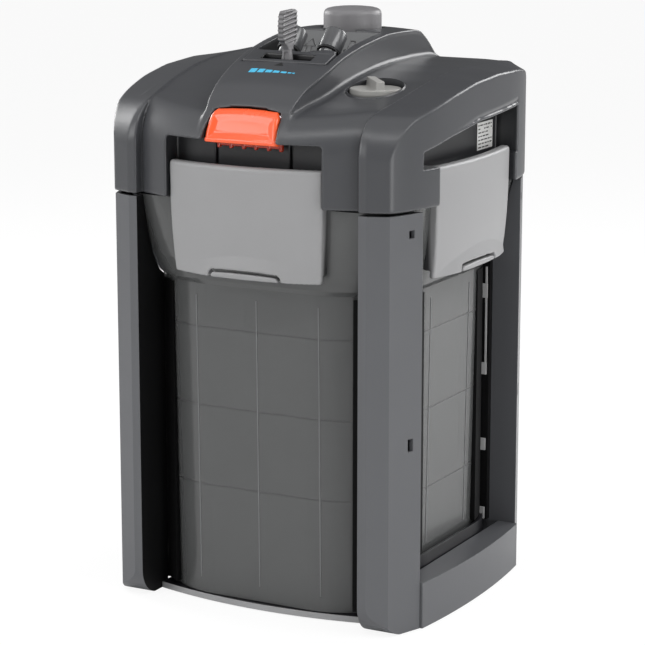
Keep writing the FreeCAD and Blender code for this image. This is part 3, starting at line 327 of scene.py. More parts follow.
def lathe(name, profile, at, segments, turn=Matrix.Identity(4)):
    """A turned piece: (radius, height) points about Z, then turned and moved."""
    place = Matrix.Translation(Vector(at)) @ turn
    verts = [
        tuple(place @ Vector(point))
        for radius, z in profile for point in ring_points(radius, z, segments)
    ]
    obj = mesh_object(name, verts, ring_faces(len(profile), segments))
    clean(obj)
    return obj


# ---------------------------------------------------------------- materials
def add_node(tree, kind, inputs, **settings):
    """A shader node; each input is given a value or linked to an output socket."""
    node = tree.nodes.new(kind)
    for key, value in settings.items():
        setattr(node, key, value)
    for key, value in inputs.items():
        if isinstance(value, bpy.types.NodeSocket):
            tree.links.new(value, node.inputs[key])
        else:
            node.inputs[key].default_value = value
    return node


def linear(rgb):
    """Linear RGBA from sRGB numbers of 0 to 255."""
    parts = [part / 255 for part in rgb]
    return tuple(p / 12.92 if p <= 0.04045 else ((p + 0.055) / 1.055) ** 2.4 for p in parts) + (1.0,)


def finish(name, rgb, rough, metallic=0.0, grain=0.02, scale=900.0, depth=0.00004, coat=0.0,
           bevel=0.0, clear=0.0, speck=0.0, specular=0.5, sheen=0.0, dark=None):
    """A finish with noise in its colour, roughness and bump.

    grain, scale and depth shape the bump, bevel is the radius of softened edges, clear the
    see-through share, speck the fine darkening and dark the colour where shade is 1.
    """
    material = bpy.data.materials.new(name)
    material.use_nodes = True
    tree = material.node_tree
    link = tree.links.new
    surface = tree.nodes["Principled BSDF"]
    place = add_node(tree, "ShaderNodeTexCoord", {}).outputs["Object"]
    broad = add_node(tree, "ShaderNodeTexNoise", {"Scale": 22, "Detail": 5, "Vector": place})
    fine = add_node(tree, "ShaderNodeTexNoise", {"Scale": scale, "Detail": 2, "Vector": place})
    broad, fine = broad.outputs["Fac"], fine.outputs["Fac"]
    drift = add_node(
        tree, "ShaderNodeMapRange", {"To Min": 1 - 0.06, "To Max": 1 + 0.06, "Value": broad}
    ).outputs["Result"]
    colour = add_node(
        tree, "ShaderNodeVectorMath", {0: linear(rgb)[:3], "Scale": drift}, operation="SCALE"
    ).outputs["Vector"]
    if speck:
        colour = add_node(
            tree, "ShaderNodeMix", {"Factor": speck, "A": colour, "B": fine},
            data_type="RGBA", blend_type="MULTIPLY",
        ).outputs["Result"]
    if dark is not None:
        shading = add_node(tree, "ShaderNodeAttribute", {}, attribute_name="shade")
        colour = add_node(
            tree, "ShaderNodeMix",
            {"Factor": shading.outputs["Fac"], "A": colour, "B": linear(dark)}, data_type="RGBA",
        ).outputs["Result"]
    link(colour, surface.inputs["Base Color"])
    roughness = add_node(
        tree, "ShaderNodeMapRange",
        {"To Min": max(rough - 0.05, 0.02), "To Max": rough + 0.06, "Value": broad},
    )
    link(roughness.outputs["Result"], surface.inputs["Roughness"])
    surface.inputs["Metallic"].default_value = metallic
    surface.inputs["Specular IOR Level"].default_value = specular
    surface.inputs["Coat Weight"].default_value = coat
    surface.inputs["Coat Roughness"].default_value = 0.12
    surface.inputs["Sheen Weight"].default_value = sheen
    bump = add_node(
        tree, "ShaderNodeBump", {"Strength": grain * 10, "Distance": depth, "Height": fine}
    )
    if bevel:
        edge = add_node(tree, "ShaderNodeBevel", {"Radius": bevel}, samples=4)
        link(edge.outputs["Normal"], bump.inputs["Normal"])
    link(bump.outputs["Normal"], surface.inputs["Normal"])
    if clear:
        glass = add_node(tree, "ShaderNodeBsdfTransparent", {"Color": (0.42, 0.43, 0.45, 1)})
        mix = add_node(
            tree, "ShaderNodeMixShader",
            {"Fac": clear, 1: surface.outputs["BSDF"], 2: glass.outputs["BSDF"]},
        )
        link(mix.outputs["Shader"], tree.nodes["Material Output"].inputs["Surface"])
    return material


# name: colour (sRGB), roughness, options of finish
# the dark option is painted shade: its colour is laid on where a piece's shade attribute is 1
FINISHES = {
    "frame_plastic": ((82, 83, 86), 0.36, dict(bevel=0.0006, grain=0.03)),
    "cover_plastic": ((62, 63, 66), 0.32, dict(grain=0.045, scale=1400, dark=(14, 14, 16))),
    "cover_cad": ((62, 63, 66), 0.36, dict(bevel=0.0005)),
    "black_plastic": ((26, 26, 29), 0.34, dict(bevel=0.0004)),
    "smoked_shell": ((92, 93, 93), 0.2, dict(bevel=0.0004, clear=0.3, grain=0.008, coat=0.25)),
    "clip_plastic": ((140, 140, 141), 0.42, dict(grain=0.04, scale=1300, dark=(16, 16, 18))),
    "latch_red": ((236, 88, 40), 0.26, dict(coat=0.35, grain=0.01, dark=(150, 16, 14))),
    "control_grey": ((112, 111, 113), 0.42, dict(bevel=0.0005, grain=0.03)),
    "control_grey_shaded": ((112, 111, 113), 0.42, dict(grain=0.03, dark=(20, 20, 22))),
    "rubber": ((24, 24, 25), 0.62, dict(bevel=0.0004, grain=0.06)),
    "scale_blue": ((74, 178, 216), 0.4, {}),
    "label_white": ((222, 222, 220), 0.5, {}),
    "steel": ((196, 197, 200), 0.24, dict(metallic=1.0, bevel=0.0002)),
    "ceramic": ((228, 226, 218), 0.3, dict(bevel=0.0002)),
    "magnet": ((52, 52, 56), 0.45, dict(metallic=0.6, bevel=0.0003)),
    "basket_plastic": ((120, 120, 122), 0.4, dict(bevel=0.0004)),
    "foam_blue": ((52, 96, 168), 0.85,
                  dict(grain=0.1, scale=420, depth=0.0009, speck=0.55, sheen=0.3)),
    "fleece_white": ((226, 227, 226), 0.9,
                     dict(grain=0.1, scale=700, depth=0.0006, speck=0.25, sheen=0.5)),
    "media_clay": ((176, 108, 78), 0.8, dict(grain=0.08, scale=500, depth=0.0003, speck=0.4)),
    "panel_grey": ((96, 97, 98), 0.34, dict(grain=0.03, dark=(16, 16, 18))),
    "nozzle_grey": ((74, 75, 77), 0.24, dict(grain=0.01, coat=0.3)),
    "mark_black": ((12, 12, 13), 0.5, {}),
    "rib_grey": ((104, 105, 106), 0.3, {}),
    "deep_black": ((7, 7, 8), 0.6, dict(specular=0.2)),
    "dial_grey": ((150, 149, 146), 0.4, dict(grain=0.03, dark=(20, 20, 22))),
    "line_dark": ((62, 62, 63), 0.3, {}),
    "rail_light": ((150, 150, 151), 0.38, dict(bevel=0.0004)),
    "tab_grey": ((170, 170, 170), 0.4, {}),
}
MATERIALS = {
    name: finish(name, rgb, rough, **options) for name, (rgb, rough, options) in FINISHES.items()
}


def wear(obj, slot, material=None):
    obj.data.materials.clear()
    obj.data.materials.append(MATERIALS[material or slot])


def stands(obj, body, slot, *nodes, material=None):
    """Finishes a piece, ties it to a moving body and puts it in place of CAD nodes."""
    wear(obj, slot, material)
    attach(obj, body)
    if nodes:
        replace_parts(obj, *nodes)


# painted shade: per-vertex amounts, 0 to 1, of a material's dark colour
def shade(obj, values):
    attribute = obj.data.attributes.new("shade", "FLOAT", "POINT")
    attribute.data.foreach_set("value", np.asarray(values, np.float32))


# ---------------------------------------------------------------- head cover
# Curves of (y, height or half-width)
wing_top = curve([
    (-140, 328.4), (-117, 333), (-100, 337.8), (-84, 342), (-72, 344.2), (-60, 347), (-48, 350),
    (-24, 354.8), (0, 358), (24, 359.8), (60, 360.2), (84, 359.4), (100, 357), (117, 353.2),
    (130, 349.5)], 3)
shoulder_x = curve([
    (-112, 81), (-108, 81.2), (-96, 82.4), (-84, 84.1), (-72, 85.9), (-60, 87.3), (-48, 88.7),
    (-36, 89.4), (-24, 90.4), (-12, 91.3), (0, 91.2), (24, 92.3), (48, 92.9), (60, 94), (72, 96),
    (100, 98)], 3)
shoulder_inner = curve([
    (-120, 333), (-108, 336.2), (-96, 339.4), (-84, 342.4), (-72, 345.2), (-60, 348),
    (-48, 350.9), (-36, 353.3), (-24, 355.6), (-12, 357.5), (0, 358.8), (12, 360.1), (24, 360.5),
    (60, 360.9), (72, 360.6), (100, 357.4), (118, 353.6)], 3)
shoulder_outer = curve([
    (-120, 329), (-103, 333.4), (-98, 334.6), (-90, 337), (-68, 343.5), (-43, 349.8),
    (-13, 354.8), (24.5, 357), (60, 356), (100, 351.5), (118, 348)], 3)
crest_z = curve([
    (-124, 306), (-119.5, 315), (-112, 327.7), (-106, 337.5), (-100, 345.1), (-88, 353.3),
    (-76, 358.2), (-64, 362.8), (-52, 367), (-40, 370.7), (-28, 373.3), (-16, 375.6),
    (-4, 377.3), (8, 378.8), (20, 380), (40, 380), (60, 379.5), (70, 378), (82, 370.5),
    (92, 362), (112, 342)], 2.5)
crest_x = curve([
    (-122, 29.3), (-112, 30), (-100, 32.2), (-88, 33.5), (-76, 35.5), (-64, 36.7), (-52, 37.1),
    (-28, 37.7), (8, 38.4), (40, 38.6), (100, 38.5)], 4)
recess_top = curve([(-100, 314), (-77, 316.5), (-46, 323), (-7, 328.3), (63, 331.6), (90, 332.5)], 2)
recess_crease = curve([(-100, 312.5), (-77, 317), (-46, 325.5), (-7, 333), (63, 337.5), (90, 340)], 2)

# (y, z) outline of the recess in each side
SIDE_RECESS = [
    (-60, 260), (-60, 305.6), (-77.4, 305.6), (-77, 316.5), (-46, 323), (-7, 328.3),
    (63, 331.6), (63, 300), (60, 300), (60, 260)]
# (x, z) outline of the release latch
FLAP = [
    (-26.6, 319.3), (26.6, 319.3), (26.2, 326), (24.9, 335.6), (23.2, 338.6), (12, 340.3),
    (0, 340.8), (-12, 340.3), (-23.2, 338.6), (-24.9, 335.6), (-26.2, 326)]


def side_x(y):
    return 119 - 4.465e-4 * y * y - 9.54e-8 * y ** 4


def side_scoop(y, z):
    """How far the panel above the side recess is scooped in."""
    start = ease(np.clip((z - recess_top(y) - 1.6) / 0.9, 0, 1))
    ends = np.clip((y + 77) / 6, 0, 1) * np.clip((63 - y) / 1.2, 0, 1)
    return np.clip(0.30 * (recess_crease(y) - z), 0, 2.6) * start * ends


def cover_outside(x, y, z):
    abs_x, abs_y = np.abs(x), np.abs(y)
    front = 122 - 19 * (abs_x / 82.0) ** 2
    ends = np.maximum(-y - front, y - front) / np.sqrt(1 + (38 * abs_x / 6724.0) ** 2)
    side = (abs_x - side_x(y) + side_scoop(y, z)) / np.sqrt(1 + (9e-4 * y) ** 2)
    wing = (z - wing_top(y)) / steepness(wing_top, y)
    wing = both(both(wing, ends, 19), abs_x - 95)
    # raised corner pieces
    shoulder = shoulder_x(y)
    strip = np.maximum(abs_y - 109.7, 0.356 * (abs_x - 88.5) + 0.934 * (abs_y - 109.7))
    outward = np.clip((abs_x - shoulder) / np.maximum(side_x(y) - shoulder, 4), -0.2, 1.2)
    inner = shoulder_inner(y)
    top = z - (inner + (shoulder_outer(y) - inner) * outward)
    top = top / steepness(shoulder_inner, y, 0.01)
    corner = both(top, both(strip, side, 1.4), 1.6)
    corner = both(corner, both(top, strip, 20))
    corner = both(corner, shoulder + np.clip((abs_y - 96) * 0.1, 0, 1.2) - abs_x, 0.9)
    body = either(wing, corner, 0.5)
    # ridge along the middle
    crest, half = crest_z(y), crest_x(y)
    crown = crest + np.clip((y + 122) / 40, 0.2, 1) * 1.6 * (1 - (abs_x / half) ** 2)
    draft = np.clip((crest - z - 1.2) * 0.6, 0, 0.8) * np.clip((y + 118) / 10, 0, 1)
    ridge = both((z - crown) / steepness(crest_z, y), abs_x - half + draft, 0.8)
    return either(body, both(ridge, ends, 2.0), 3.6)


def cover_cuts(x, y, z):
    abs_x, abs_y = np.abs(x), np.abs(y)
    flap = np.minimum(polygon(x, z, FLAP) - 0.9, box((x, z), (0, 317), (27.4, 6), 0.5))
    slots = both(np.abs(abs_x - 27.6) - 0.9, 94 - abs_y)
    groove = both(np.abs(abs_x - shoulder_x(y) + 0.5) - 0.4, 97 - abs_y)
    return np.minimum.reduce([
        both(box((x, z), (0, 298), (57.7, 23), 2.6), 97 - abs_y),  # front and back windows
        both(polygon(y, z, SIDE_RECESS), 99 - abs_x),
        both(flap, y + 99),
        both(box((x, y), (0, -17.75), (31.6, 39.75), 1.5), 338 - z),  # hose adapter
        both(np.hypot(x, y - KNOB_Y) - 21.4, 330 - z),
        both(box((x, y), (0, 58), (13, 8), 1), 350 - z),  # notch behind the knob
        both(np.hypot(x - DIAL_X, y - DIAL_Y) - 19.3, 341.5 - z),
        both(groove, cover_outside(x, y, z) * -1 - 1.4),
        both(slots, np.abs(z - 296) - 25.5),
    ])


def cover_field(x, y, z):
    outside = cover_outside(x, y, z)
    cuts = cover_cuts(x, y, z)
    hollow = np.maximum(outside + 3.0, 2.2 - cuts)
    return np.maximum(both(less(outside, cuts, 0.7), 280.4 - z, 0.9), -hollow)


obj, x, y, z = moulded(
    "head_cover_shell", cover_field, (-122, -125, 278), (122, 125, 385), full=1.05)
# painted shade: darker on surfaces further below the outer skin (recess walls, hollows, the inner
# face), and more on deep surfaces above z 330
skin = np.clip(1 - np.abs(cover_outside(x, y, z)) / 3.0, 0, 1)
shade(obj, np.clip(1.0 - 1.15 * skin, 0, 0.62) + 0.35 * (skin < 0.05) * (z > 330))
stands(obj, "housing", "cover_plastic", "head_cover")

# ---------------------------------------------------------------- clips
CLIP_HALF = 56.7
HINGE_Z = 297.5
# (z, how far the face leans in) and (z, half-width)
clip_lean = curve([
    (222, 4.9), (231, 3.8), (243, 2.2), (259, 0.9), (277, 0.2), (300, 0), (320, 0)], 3)
clip_width = curve([
    (222, CLIP_HALF - 2.6), (231, CLIP_HALF - 2.2), (243, CLIP_HALF - 1.6),
    (259, CLIP_HALF - 0.8), (277, CLIP_HALF - 0.2), (320, CLIP_HALF)], 3)


def clip_field(face, arc, hook_end, hinge):
    """A clip at the front: face, hook_end and hinge are distances from Z, arc is its bow."""

    def field(x, y, z):
        abs_x = np.abs(x)
        width = clip_width(z)
        flare = -np.clip(0.28 * (246.4 - 0.0042 * (x - 5) ** 2 - z), 0, 3.0)
        skin = -(face - clip_lean(z)) + arc - np.sqrt(arc * arc - x * x) + flare
        outer_side = skin - y
        thick = 3.2 + 3.4 * np.clip((z - 296) / 7, 0, 1)
        dist = both(outer_side, z - 304.6, 2.4)
        dist = both(dist, abs_x - width, 1.3)
        dist = both(dist, 231 - z, 1.0)
        dist = both(dist, y - (skin - flare + thick), 0.8)
        # folded side walls
        wall = both(abs_x - width, width - 2.4 - abs_x)
        wall = both(wall, both(skin - y + 0.6, y - (skin + 8.2)))
        dist = np.minimum(dist, both(both(wall, z - 303, 1), 236 - z, 1))
        # arched gap that frees the finger tab
        arch = 237.0 - 0.0016 * x * x
        gap = box((x, z), (2.0, 0.5 * (arch + 218)), (26.8, 0.5 * (arch - 218)), 3.4)
        tab = box((x, z), (2.0, 0.5 * (arch - 2.1 + 216)), (24.7, 0.5 * (arch - 2.1 - 216)), 2.4)
        dist = less(dist, both(less(gap, tab), y - (skin + 12)), 0.35)
        hook = box(
            (x, y, z), (0, -0.5 * (face - 5 + hook_end), 243.9),
            (44, 0.5 * (face - 5 - hook_end), 1.3), 0.4)
        dist = either(dist, both(hook, outer_side + 1.6), 0.6)
        # hinge eyes near both sides
        pin = np.hypot(y + hinge, z - HINGE_Z)
        web = both(np.abs(z - HINGE_Z) - 2.5, both(y + hinge, -(y + face - 4)))
        eyes = both(either(pin - 3.0, web, 1), outer_side + 1.6)
        eyes = both(eyes, np.abs(abs_x - (CLIP_HALF - 8.5)) - 7, 0.4)
        return np.maximum(either(dist, eyes, 0.5), 1.85 - pin)

    return field


# name, turn about Z in degrees, face, arc, hook end, hinge
for side, turn, face, arc, hook_end, hinge in (
    ("front", 0, 117.2, 205, 101.8, 105.5),
    ("right", 90, 117.4, 334, 104.8, 108.5),
    ("rear", 180, 117.2, 205, 101.8, 105.5),
    ("left", 270, 117.4, 334, 104.8, 108.5),
):
    obj, x, y, z = moulded(
        "clip_" + side + "_moulded", clip_field(face, arc, hook_end, hinge),
        (-60, -120, 229), (60, -98, 307), full=0.95)
    # painted shade on the clip's inner walls and back, from 4.6 mm behind its face inward
    skin = -face + arc - np.sqrt(arc * arc - x * x)
    shade(obj, np.clip((y - skin - 4.6) / 3, 0, 0.9))
    obj.data.transform(Matrix.Rotation(math.radians(turn), 4, "Z"))
    obj.data.update()
    stands(obj, "clip_" + side + "_body", "clip_plastic", "clip_" + side)

# ---------------------------------------------------------------- release latch
# (z, y of the outer face)
latch_y = curve([
    (312, -115.2), (319.5, -115.5), (322.5, -115.8), (328, -114.2), (334, -111.8),
    (338, -109.4), (342, -105.6)], 1.6)


def latch_field(x, y, z):
    outline = polygon(x, z, FLAP)
    dish = 1.5 * ease(np.clip((-outline - 1.6) / 6.0, 0, 1))
    face = latch_y(z) + 0.0012 * x * x + dish
    steep = steepness(latch_y, z)
    dist = both((face - y) / steep, outline, 2.2)
    dist = both(dist, (y - (face - dish + 4.4)) / steep, 0.8)
    lip = box((x, y, z), (0, -112.6, 320.6), (26.3, 3.0, 1.3), 1.1)
    dist = either(dist, lip, 1.2)
    pin = np.hypot(y + 104, z - 336.5)
    dist = either(dist, both(pin - 3.2, np.abs(x) - 22), 1.2)
    comb = box((x, y, z), (0, -101.1, 321), (24.1, 1.2, 5.4), 0.6)
    for tooth_x in (-23, -14, -4.5, 4.5, 14, 23):
        tooth = box((x, y, z), (tooth_x, -101.3, 324.2), (1.1, 1.8, 10.2), 0.8)
        comb = np.minimum(comb, tooth)
    shelf = box((x, y, z), (0, -106.5, 325.2), (22.5, 6.4, 1.2), 0.6)
    dist = either(dist, either(comb, shelf, 0.8), 0.6)
    return np.maximum(dist, 1.35 - pin)


obj, x, y, z = moulded(
    "release_latch_moulded", latch_field, (-29, -121, 311), (29, -99, 343), full=0.55)
# painted shade on the back of the latch below z 330, darker further back
shade(obj, np.clip((y + 109) / 2.5, 0, 0.7) * (z < 330))
stands(obj, "latch_body", "latch_red", "release_latch")

# ---------------------------------------------------------------- flow lever
LEVER_SHIFT = 4.5  # the lever is drawn this far in front of its place
# (y, z) outlines
BLADE = [
    (-58.8, 376.2), (-62.6, 378.2), (-65.2, 381.0), (-65.6, 390), (-64.6, 397.4),
    (-63.0, 399.6), (-48.2, 400.0), (-46.4, 398.8), (-46.2, 390), (-46.8, 380.6),
    (-49.0, 378.0), (-52, 376.2)]
STEM = [
    (-58.2, 352), (-51.9, 352), (-51.9, 375.2), (-50.2, 378), (-50.4, 379), (-60.8, 379),
    (-60.6, 377.2), (-58.2, 374.0)]


def lever_ripple(y, z):
    """Grip ribs across the paddle: 1 on a rib, 0 between ribs."""
    return 0.5 + 0.5 * np.cos((z - 0.12 * (y + 56) - 379.4) * 2 * math.pi / 2.95)


def lever_field(x, y, z):
    y = y - LEVER_SHIFT
    abs_x = np.abs(x)
    blade = polygon(y, z, BLADE)
    rows = np.clip((z - 378.4) / 0.8, 0, 1) * np.clip((399.2 - z) / 0.8, 0, 1)
    thick = abs_x - 1.3 - 1.0 * ease(lever_ripple(y, z)) * rows - 0.5 * (1 - rows)
    paddle = both(blade, thick, 0.3)
    rim = both(np.maximum(blade, -blade - 1.5), abs_x - 1.9, 0.35)
    paddle = np.minimum(paddle, rim)
    stem_x = 5.5 - (z - 354) * 0.15
    stem = both(polygon(y, z, STEM), abs_x - stem_x, 0.5)
    notch = both(abs_x - np.clip(stem_x - 1.6, 0.2, 9), 356 - z)
    notch = both(notch, both(y + 56.6, z - 372.5))
    stem = less(stem, both(notch, 57.4 + y, 0.1), 0.3)
    split = both(both(abs_x - 9, -54.6 - y), both(356 - z, both(z - 374, 0.9 - abs_x)))
    stem = less(stem, split, 0.3)
    hub = both(np.hypot(x, z - LEVER_AXIS_Z) - 7.2, np.abs(y + 55) - 3.8, 0.5)
    return either(either(paddle, stem, 0.6), hub, 1.0)


obj, x, y, z = moulded(
    "flow_lever_moulded", lever_field, (-9, -62.5, 343), (9, -40, 402), full=0.35)
# painted shade in the valleys between the grip ribs of the paddle
valley = np.clip(0.9 * (1 - lever_ripple(y - LEVER_SHIFT, z)) - 0.15, 0, 0.8)
shade(obj, valley * (z > 378.8) * (z < 399) * (np.abs(x) < 2.0))
stands(obj, "lever_body", "control_grey", "flow_lever", material="control_grey_shaded")

# ---------------------------------------------------------------- priming knob and its spring
# (radius, z)
KNOB = [
    (0.01, 395.6), (6, 395.5), (11, 395.2), (15, 394.7), (17.4, 394.1), (18.9, 393.2),
    (19.7, 391.9), (20.0, 390.0), (20.0, 366.0), (19.6, 364.6), (18.6, 364.0), (17.6, 364.0),
    (17.6, 366.0), (17.6, 390.6), (17.0, 391.4), (4.6, 391.6), (4.0, 391.0), (4.0, 368.3),
    (3.6, 368.0), (0.01, 368.0)]
obj = lathe("priming_knob_moulded", KNOB, at=(0, KNOB_Y, 0), segments=128)
stands(obj, "knob_body", "control_grey", "priming_knob", material="control_grey_shaded")
shade(obj, np.zeros(len(obj.data.vertices)))

COIL_RADIUS, WIRE_RADIUS = 9.0, 0.8
COIL_Z, COIL_HEIGHT = 359.6, 29.4
COIL_TURNS, COIL_SEGMENTS, WIRE_SEGMENTS = 8, 30, 10


def spring_mesh():
    """One wound wire with closed ends."""
    last = COIL_TURNS * COIL_SEGMENTS
    verts, faces = [], []
    for i in range(last + 1):
        angle = 2 * math.pi * i / COIL_SEGMENTS
        rise = COIL_Z + COIL_HEIGHT * i / last
        for k in range(WIRE_SEGMENTS):
            around = 2 * math.pi * k / WIRE_SEGMENTS
            radius = COIL_RADIUS + WIRE_RADIUS * math.cos(around)
            verts.append((
                radius * math.cos(angle), KNOB_Y + radius * math.sin(angle),
                rise + WIRE_RADIUS * math.sin(around)))
    for i in range(last):
        for k in range(WIRE_SEGMENTS):
            here = i * WIRE_SEGMENTS + k
            beside = i * WIRE_SEGMENTS + (k + 1) % WIRE_SEGMENTS
            faces.append((here, here + WIRE_SEGMENTS, beside + WIRE_SEGMENTS, beside))
    middle = len(verts)
    verts.append((COIL_RADIUS, KNOB_Y, COIL_Z))
    verts.append((COIL_RADIUS, KNOB_Y, COIL_Z + COIL_HEIGHT))
    top = last * WIRE_SEGMENTS
    for k in range(WIRE_SEGMENTS):
        after = (k + 1) % WIRE_SEGMENTS
        faces.append((middle, k, after))
        faces.append((middle + 1, top + after, top + k))
    return verts, faces


# the spring is built at one height; on the filter it shortens as the knob is pushed
obj = mesh_object("priming_spring_wire", *spring_mesh())
clean(obj)
stands(obj, "housing", "steel", "priming_spring")
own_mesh(obj)

# ---------------------------------------------------------------- bypass dial
GRIP_ANGLE = math.radians(128)


def dial_field(x, y, z):
    x, y = x - DIAL_X, y - DIAL_Y
    radius = np.hypot(x, y)
    disc = both(radius - 16.9, np.abs(z - 348.4) - 3.0, 0.7)
    along = x * math.cos(GRIP_ANGLE) + y * math.sin(GRIP_ANGLE)
    across = -x * math.sin(GRIP_ANGLE) + y * math.cos(GRIP_ANGLE)
    bar = both(np.abs(across) - 3.1 + np.clip(z - 351, 0, 6) * 0.07, np.abs(along) - 16.3)
    bar = both(bar, np.abs(z - 352.2) - 4.9, 0.45)
    return either(disc, both(bar, radius - 16.7, 0.4), 0.5)


obj, x, y, z = moulded(
    "bypass_dial_moulded", dial_field, (42, -63, 344), (80, -25, 359), full=0.5)
# painted shade, darker towards the bottom of the disc
shade(obj, np.clip((348.6 - z) / 2.0, 0, 0.55))
stands(obj, "dial_body", "control_grey", "bypass_dial", material="dial_grey")

# ---------------------------------------------------------------- hose adapter block
RAMP = math.atan2(20.5, 21.6)  # rise and run of the sloped top behind the nozzles
# (y, z)
ADAPTER = [
    (-46, 341), (-46, 364.5), (-37, 364.9), (-33.5, 361), (-4, 359.5), (17.6, 380), (21.2, 380),
    (21.2, 341)]


def on_ramp(y, z):
    """Distance up the ramp from its middle, and height off it."""
    y, z = y - 6.8, z - 369.7
    return y * math.cos(RAMP) + z * math.sin(RAMP), -y * math.sin(RAMP) + z * math.cos(RAMP)


def arrows(x, up):
    """The outlines of two arrows: the left one points up the ramp, the right one down."""
    shapes = []
    for side, point in ((-1, 1), (1, -1)):
        across, along = x - 15.6 * side, up * point
        head = polygon(across, along, [(-4.6, 1.0), (4.6, 1.0), (0.0, 7.4)])
        tail = box((across, along), (0, -2.9), (1.9, 4.2), 0)
        shapes.append(np.abs(np.minimum(head, tail)))
    return shapes


def adapter_field(x, y, z):
    dist = both(polygon(y, z, ADAPTER), np.abs(x) - 31, 0.6)
    dist = np.maximum(dist, 22 - np.hypot(x, y - KNOB_Y))
    along = (y - NOZZLE_Y) * 0.70711 + (z - NOZZLE_Z) * 0.70711
    across = -(y - NOZZLE_Y) * 0.70711 + (z - NOZZLE_Z) * 0.70711
    for side in (-1, 1):
        radius = np.hypot(x - NOZZLE_X * side, across)
        dist = less(dist, both(radius - 11.4, 6.5 - along), 0.4)
        dist = less(dist, both(radius - 9.2, 1.0 - along), 0.3)
        dist = np.maximum(dist, 6.55 - radius)
    up, height = on_ramp(y, z)
    for arrow in arrows(x, up):
        dist = less(dist, both(arrow - 0.38, -height - 0.7), 0.12)
    # bore and seat round the lever's axis
    axis = np.hypot(x, z - LEVER_AXIS_Z)
    dist = np.maximum(dist, 4.6 - axis - (y > -30) * 100)
    return less(dist, both(axis - 11.6, y + 40.8))


obj, x, y, z = moulded(
    "hose_adapter_block", adapter_field, (-33, -48, 339), (33, 23, 382), full=0.6)
# darker along the arrow outlines in their grooves, and painted shade on the surfaces off the ramp top
up, height = on_ramp(y, z)
mark = np.minimum(*arrows(x, up))
shade(obj, np.where((height > -2) & (up > -12), np.clip(1.0 - mark / 0.7, 0, 0.8), 0.55))
stands(obj, "housing", "cover_plastic", "hose_adapter", material="panel_grey")

# ---------------------------------------------------------------- nozzles
# (radius, distance along the nozzle)
NOZZLE = [
    (5.0, 0), (6.5, 0), (6.5, 10.9), (6.7, 11.7), (7.4, 12.0), (7.85, 12.2), (8.0, 12.7),
    (8.0, 26.6), (7.85, 27.3), (7.4, 27.8), (6.8, 28.0), (6.0, 27.9), (5.4, 27.4), (5.0, 26.4)]
for name, side in (("inlet", -1), ("outlet", 1)):
    obj = lathe(
        "nozzle_" + name + "_turned", NOZZLE, at=(NOZZLE_X * side, NOZZLE_Y, NOZZLE_Z),
        segments=96, turn=Matrix.Rotation(math.radians(-45), 4, "X"))
    stands(obj, "housing", "control_grey", "nozzle_" + name, material="nozzle_grey")

# ---------------------------------------------------------------- console panel
# (y, z) section of the panel, (x, y) outline of the plate behind it
CONSOLE = [(-57.1, 363.3), (-57.1, 366.7), (-42.5, 372.1), (-41.9, 371.7), (-41.9, 368.3)]
CONSOLE_PLATE = [(9.5, -44.0), (29.6, -44.0), (29.6, -38.8), (21.0, -36.4), (12.0, -39.5)]


def console_field(x, y, z):
    dist = both(polygon(y, z, CONSOLE), np.abs(x) - 30.9, 0.45)
    slot = both(box((x, y), (0, -50.5), (18.4, 3.55), 0.8), np.abs(z - 367) - 12)
    dist = less(dist, slot, 0.35)
    layer = np.maximum(z - 372.2 - 0.18 * (y + 43), 366.2 - z)
    return either(dist, both(polygon(x, y, CONSOLE_PLATE), layer, 0.5), 0.5)


obj, x, y, z = moulded(
    "console_panel_moulded", console_field, (-33, -60, 361), (33, -34, 376), full=0.5)
# painted shade inside the lever slot
shade(obj, 0.9 * (np.abs(x) < 19.2) * (np.abs(y + 50.5) < 4.2))
stands(obj, "housing", "cover_plastic", "console_panel", material="cover_plastic")


# ---------------------------------------------------------------- marks that follow the ridge
def top_z(x, y):
    """Height of the head cover at one place."""
    heights = np.arange(400.0, 330.0, -0.1)
    dist = cover_outside(np.full(heights.shape, x), np.full(heights.shape, y), heights)
    i = int(np.argmax(dist < 0))
    return heights[i - 1] - 0.1 * dist[i - 1] / (dist[i - 1] - dist[i])


def decals(name, quads, slot, lift, *nodes, material=None):
    """Thin closed patches over four-cornered (x, y) shapes, lifted off the cover."""
    cols, rows = 6, 5
    patch = cols * rows
    verts, faces = [], []
    for quad in quads:
        base = len(verts)
        for layer in (lift, -0.5):
            for i in range(cols):
                for j in range(rows):
                    right, up = i / (cols - 1), j / (rows - 1)
                    weights = (
                        (1 - right) * (1 - up), right * (1 - up), right * up, (1 - right) * up)
                    x, y = (sum(w * point[k] for w, point in zip(weights, quad)) for k in (0, 1))
                    verts.append((x, y, top_z(x, y) + layer))
        for i in range(cols - 1):
            for j in range(rows - 1):
                here = base + i * rows + j
                below = here + patch
                faces.append((here, here + rows, here + rows + 1, here + 1))
                faces.append((below + 1, below + rows + 1, below + rows, below))
        rim = [i * rows for i in range(cols)]
        rim += [(cols - 1) * rows + j for j in range(1, rows)]
        rim += [i * rows + rows - 1 for i in range(cols - 2, -1, -1)]
        rim += list(range(rows - 2, 0, -1))
        for k in range(len(rim)):
            here, after = base + rim[k], base + rim[(k + 1) % len(rim)]
            faces.append((here, here + patch, after + patch, after))
    obj = mesh_object(name, verts, faces, smooth=False)
    clean(obj)
    stands(obj, "housing", slot, *nodes, material=material)


# left edge, width and depth of each bar
bars = []
for x, wide, deep in (
    (-17.4, 5.1, 5.0), (-11.1, 4.6, 4.4), (-5.3, 4.6, 3.3), (0.5, 4.4, 2.5), (6.2, 4.1, 1.8),
    (11.4, 2.4, 1.3), (14.7, 1.7, 1.0),
):
    y = -73.5 + 0.075 * (x + 17.4) * 0.5
    bars.append([(x, y), (x + wide, y), (x + wide, y + deep), (x, y + deep)])
decals("flow_scale_bars", bars, "scale_blue", 0.14, "flow_scale")
pointer = [(-3.4, -63.6), (3.4, -63.6), (0.06, -59.2), (-0.06, -59.2)]
decals("flow_scale_pointer", [pointer], "black_plastic", 0.16, material="mark_black")


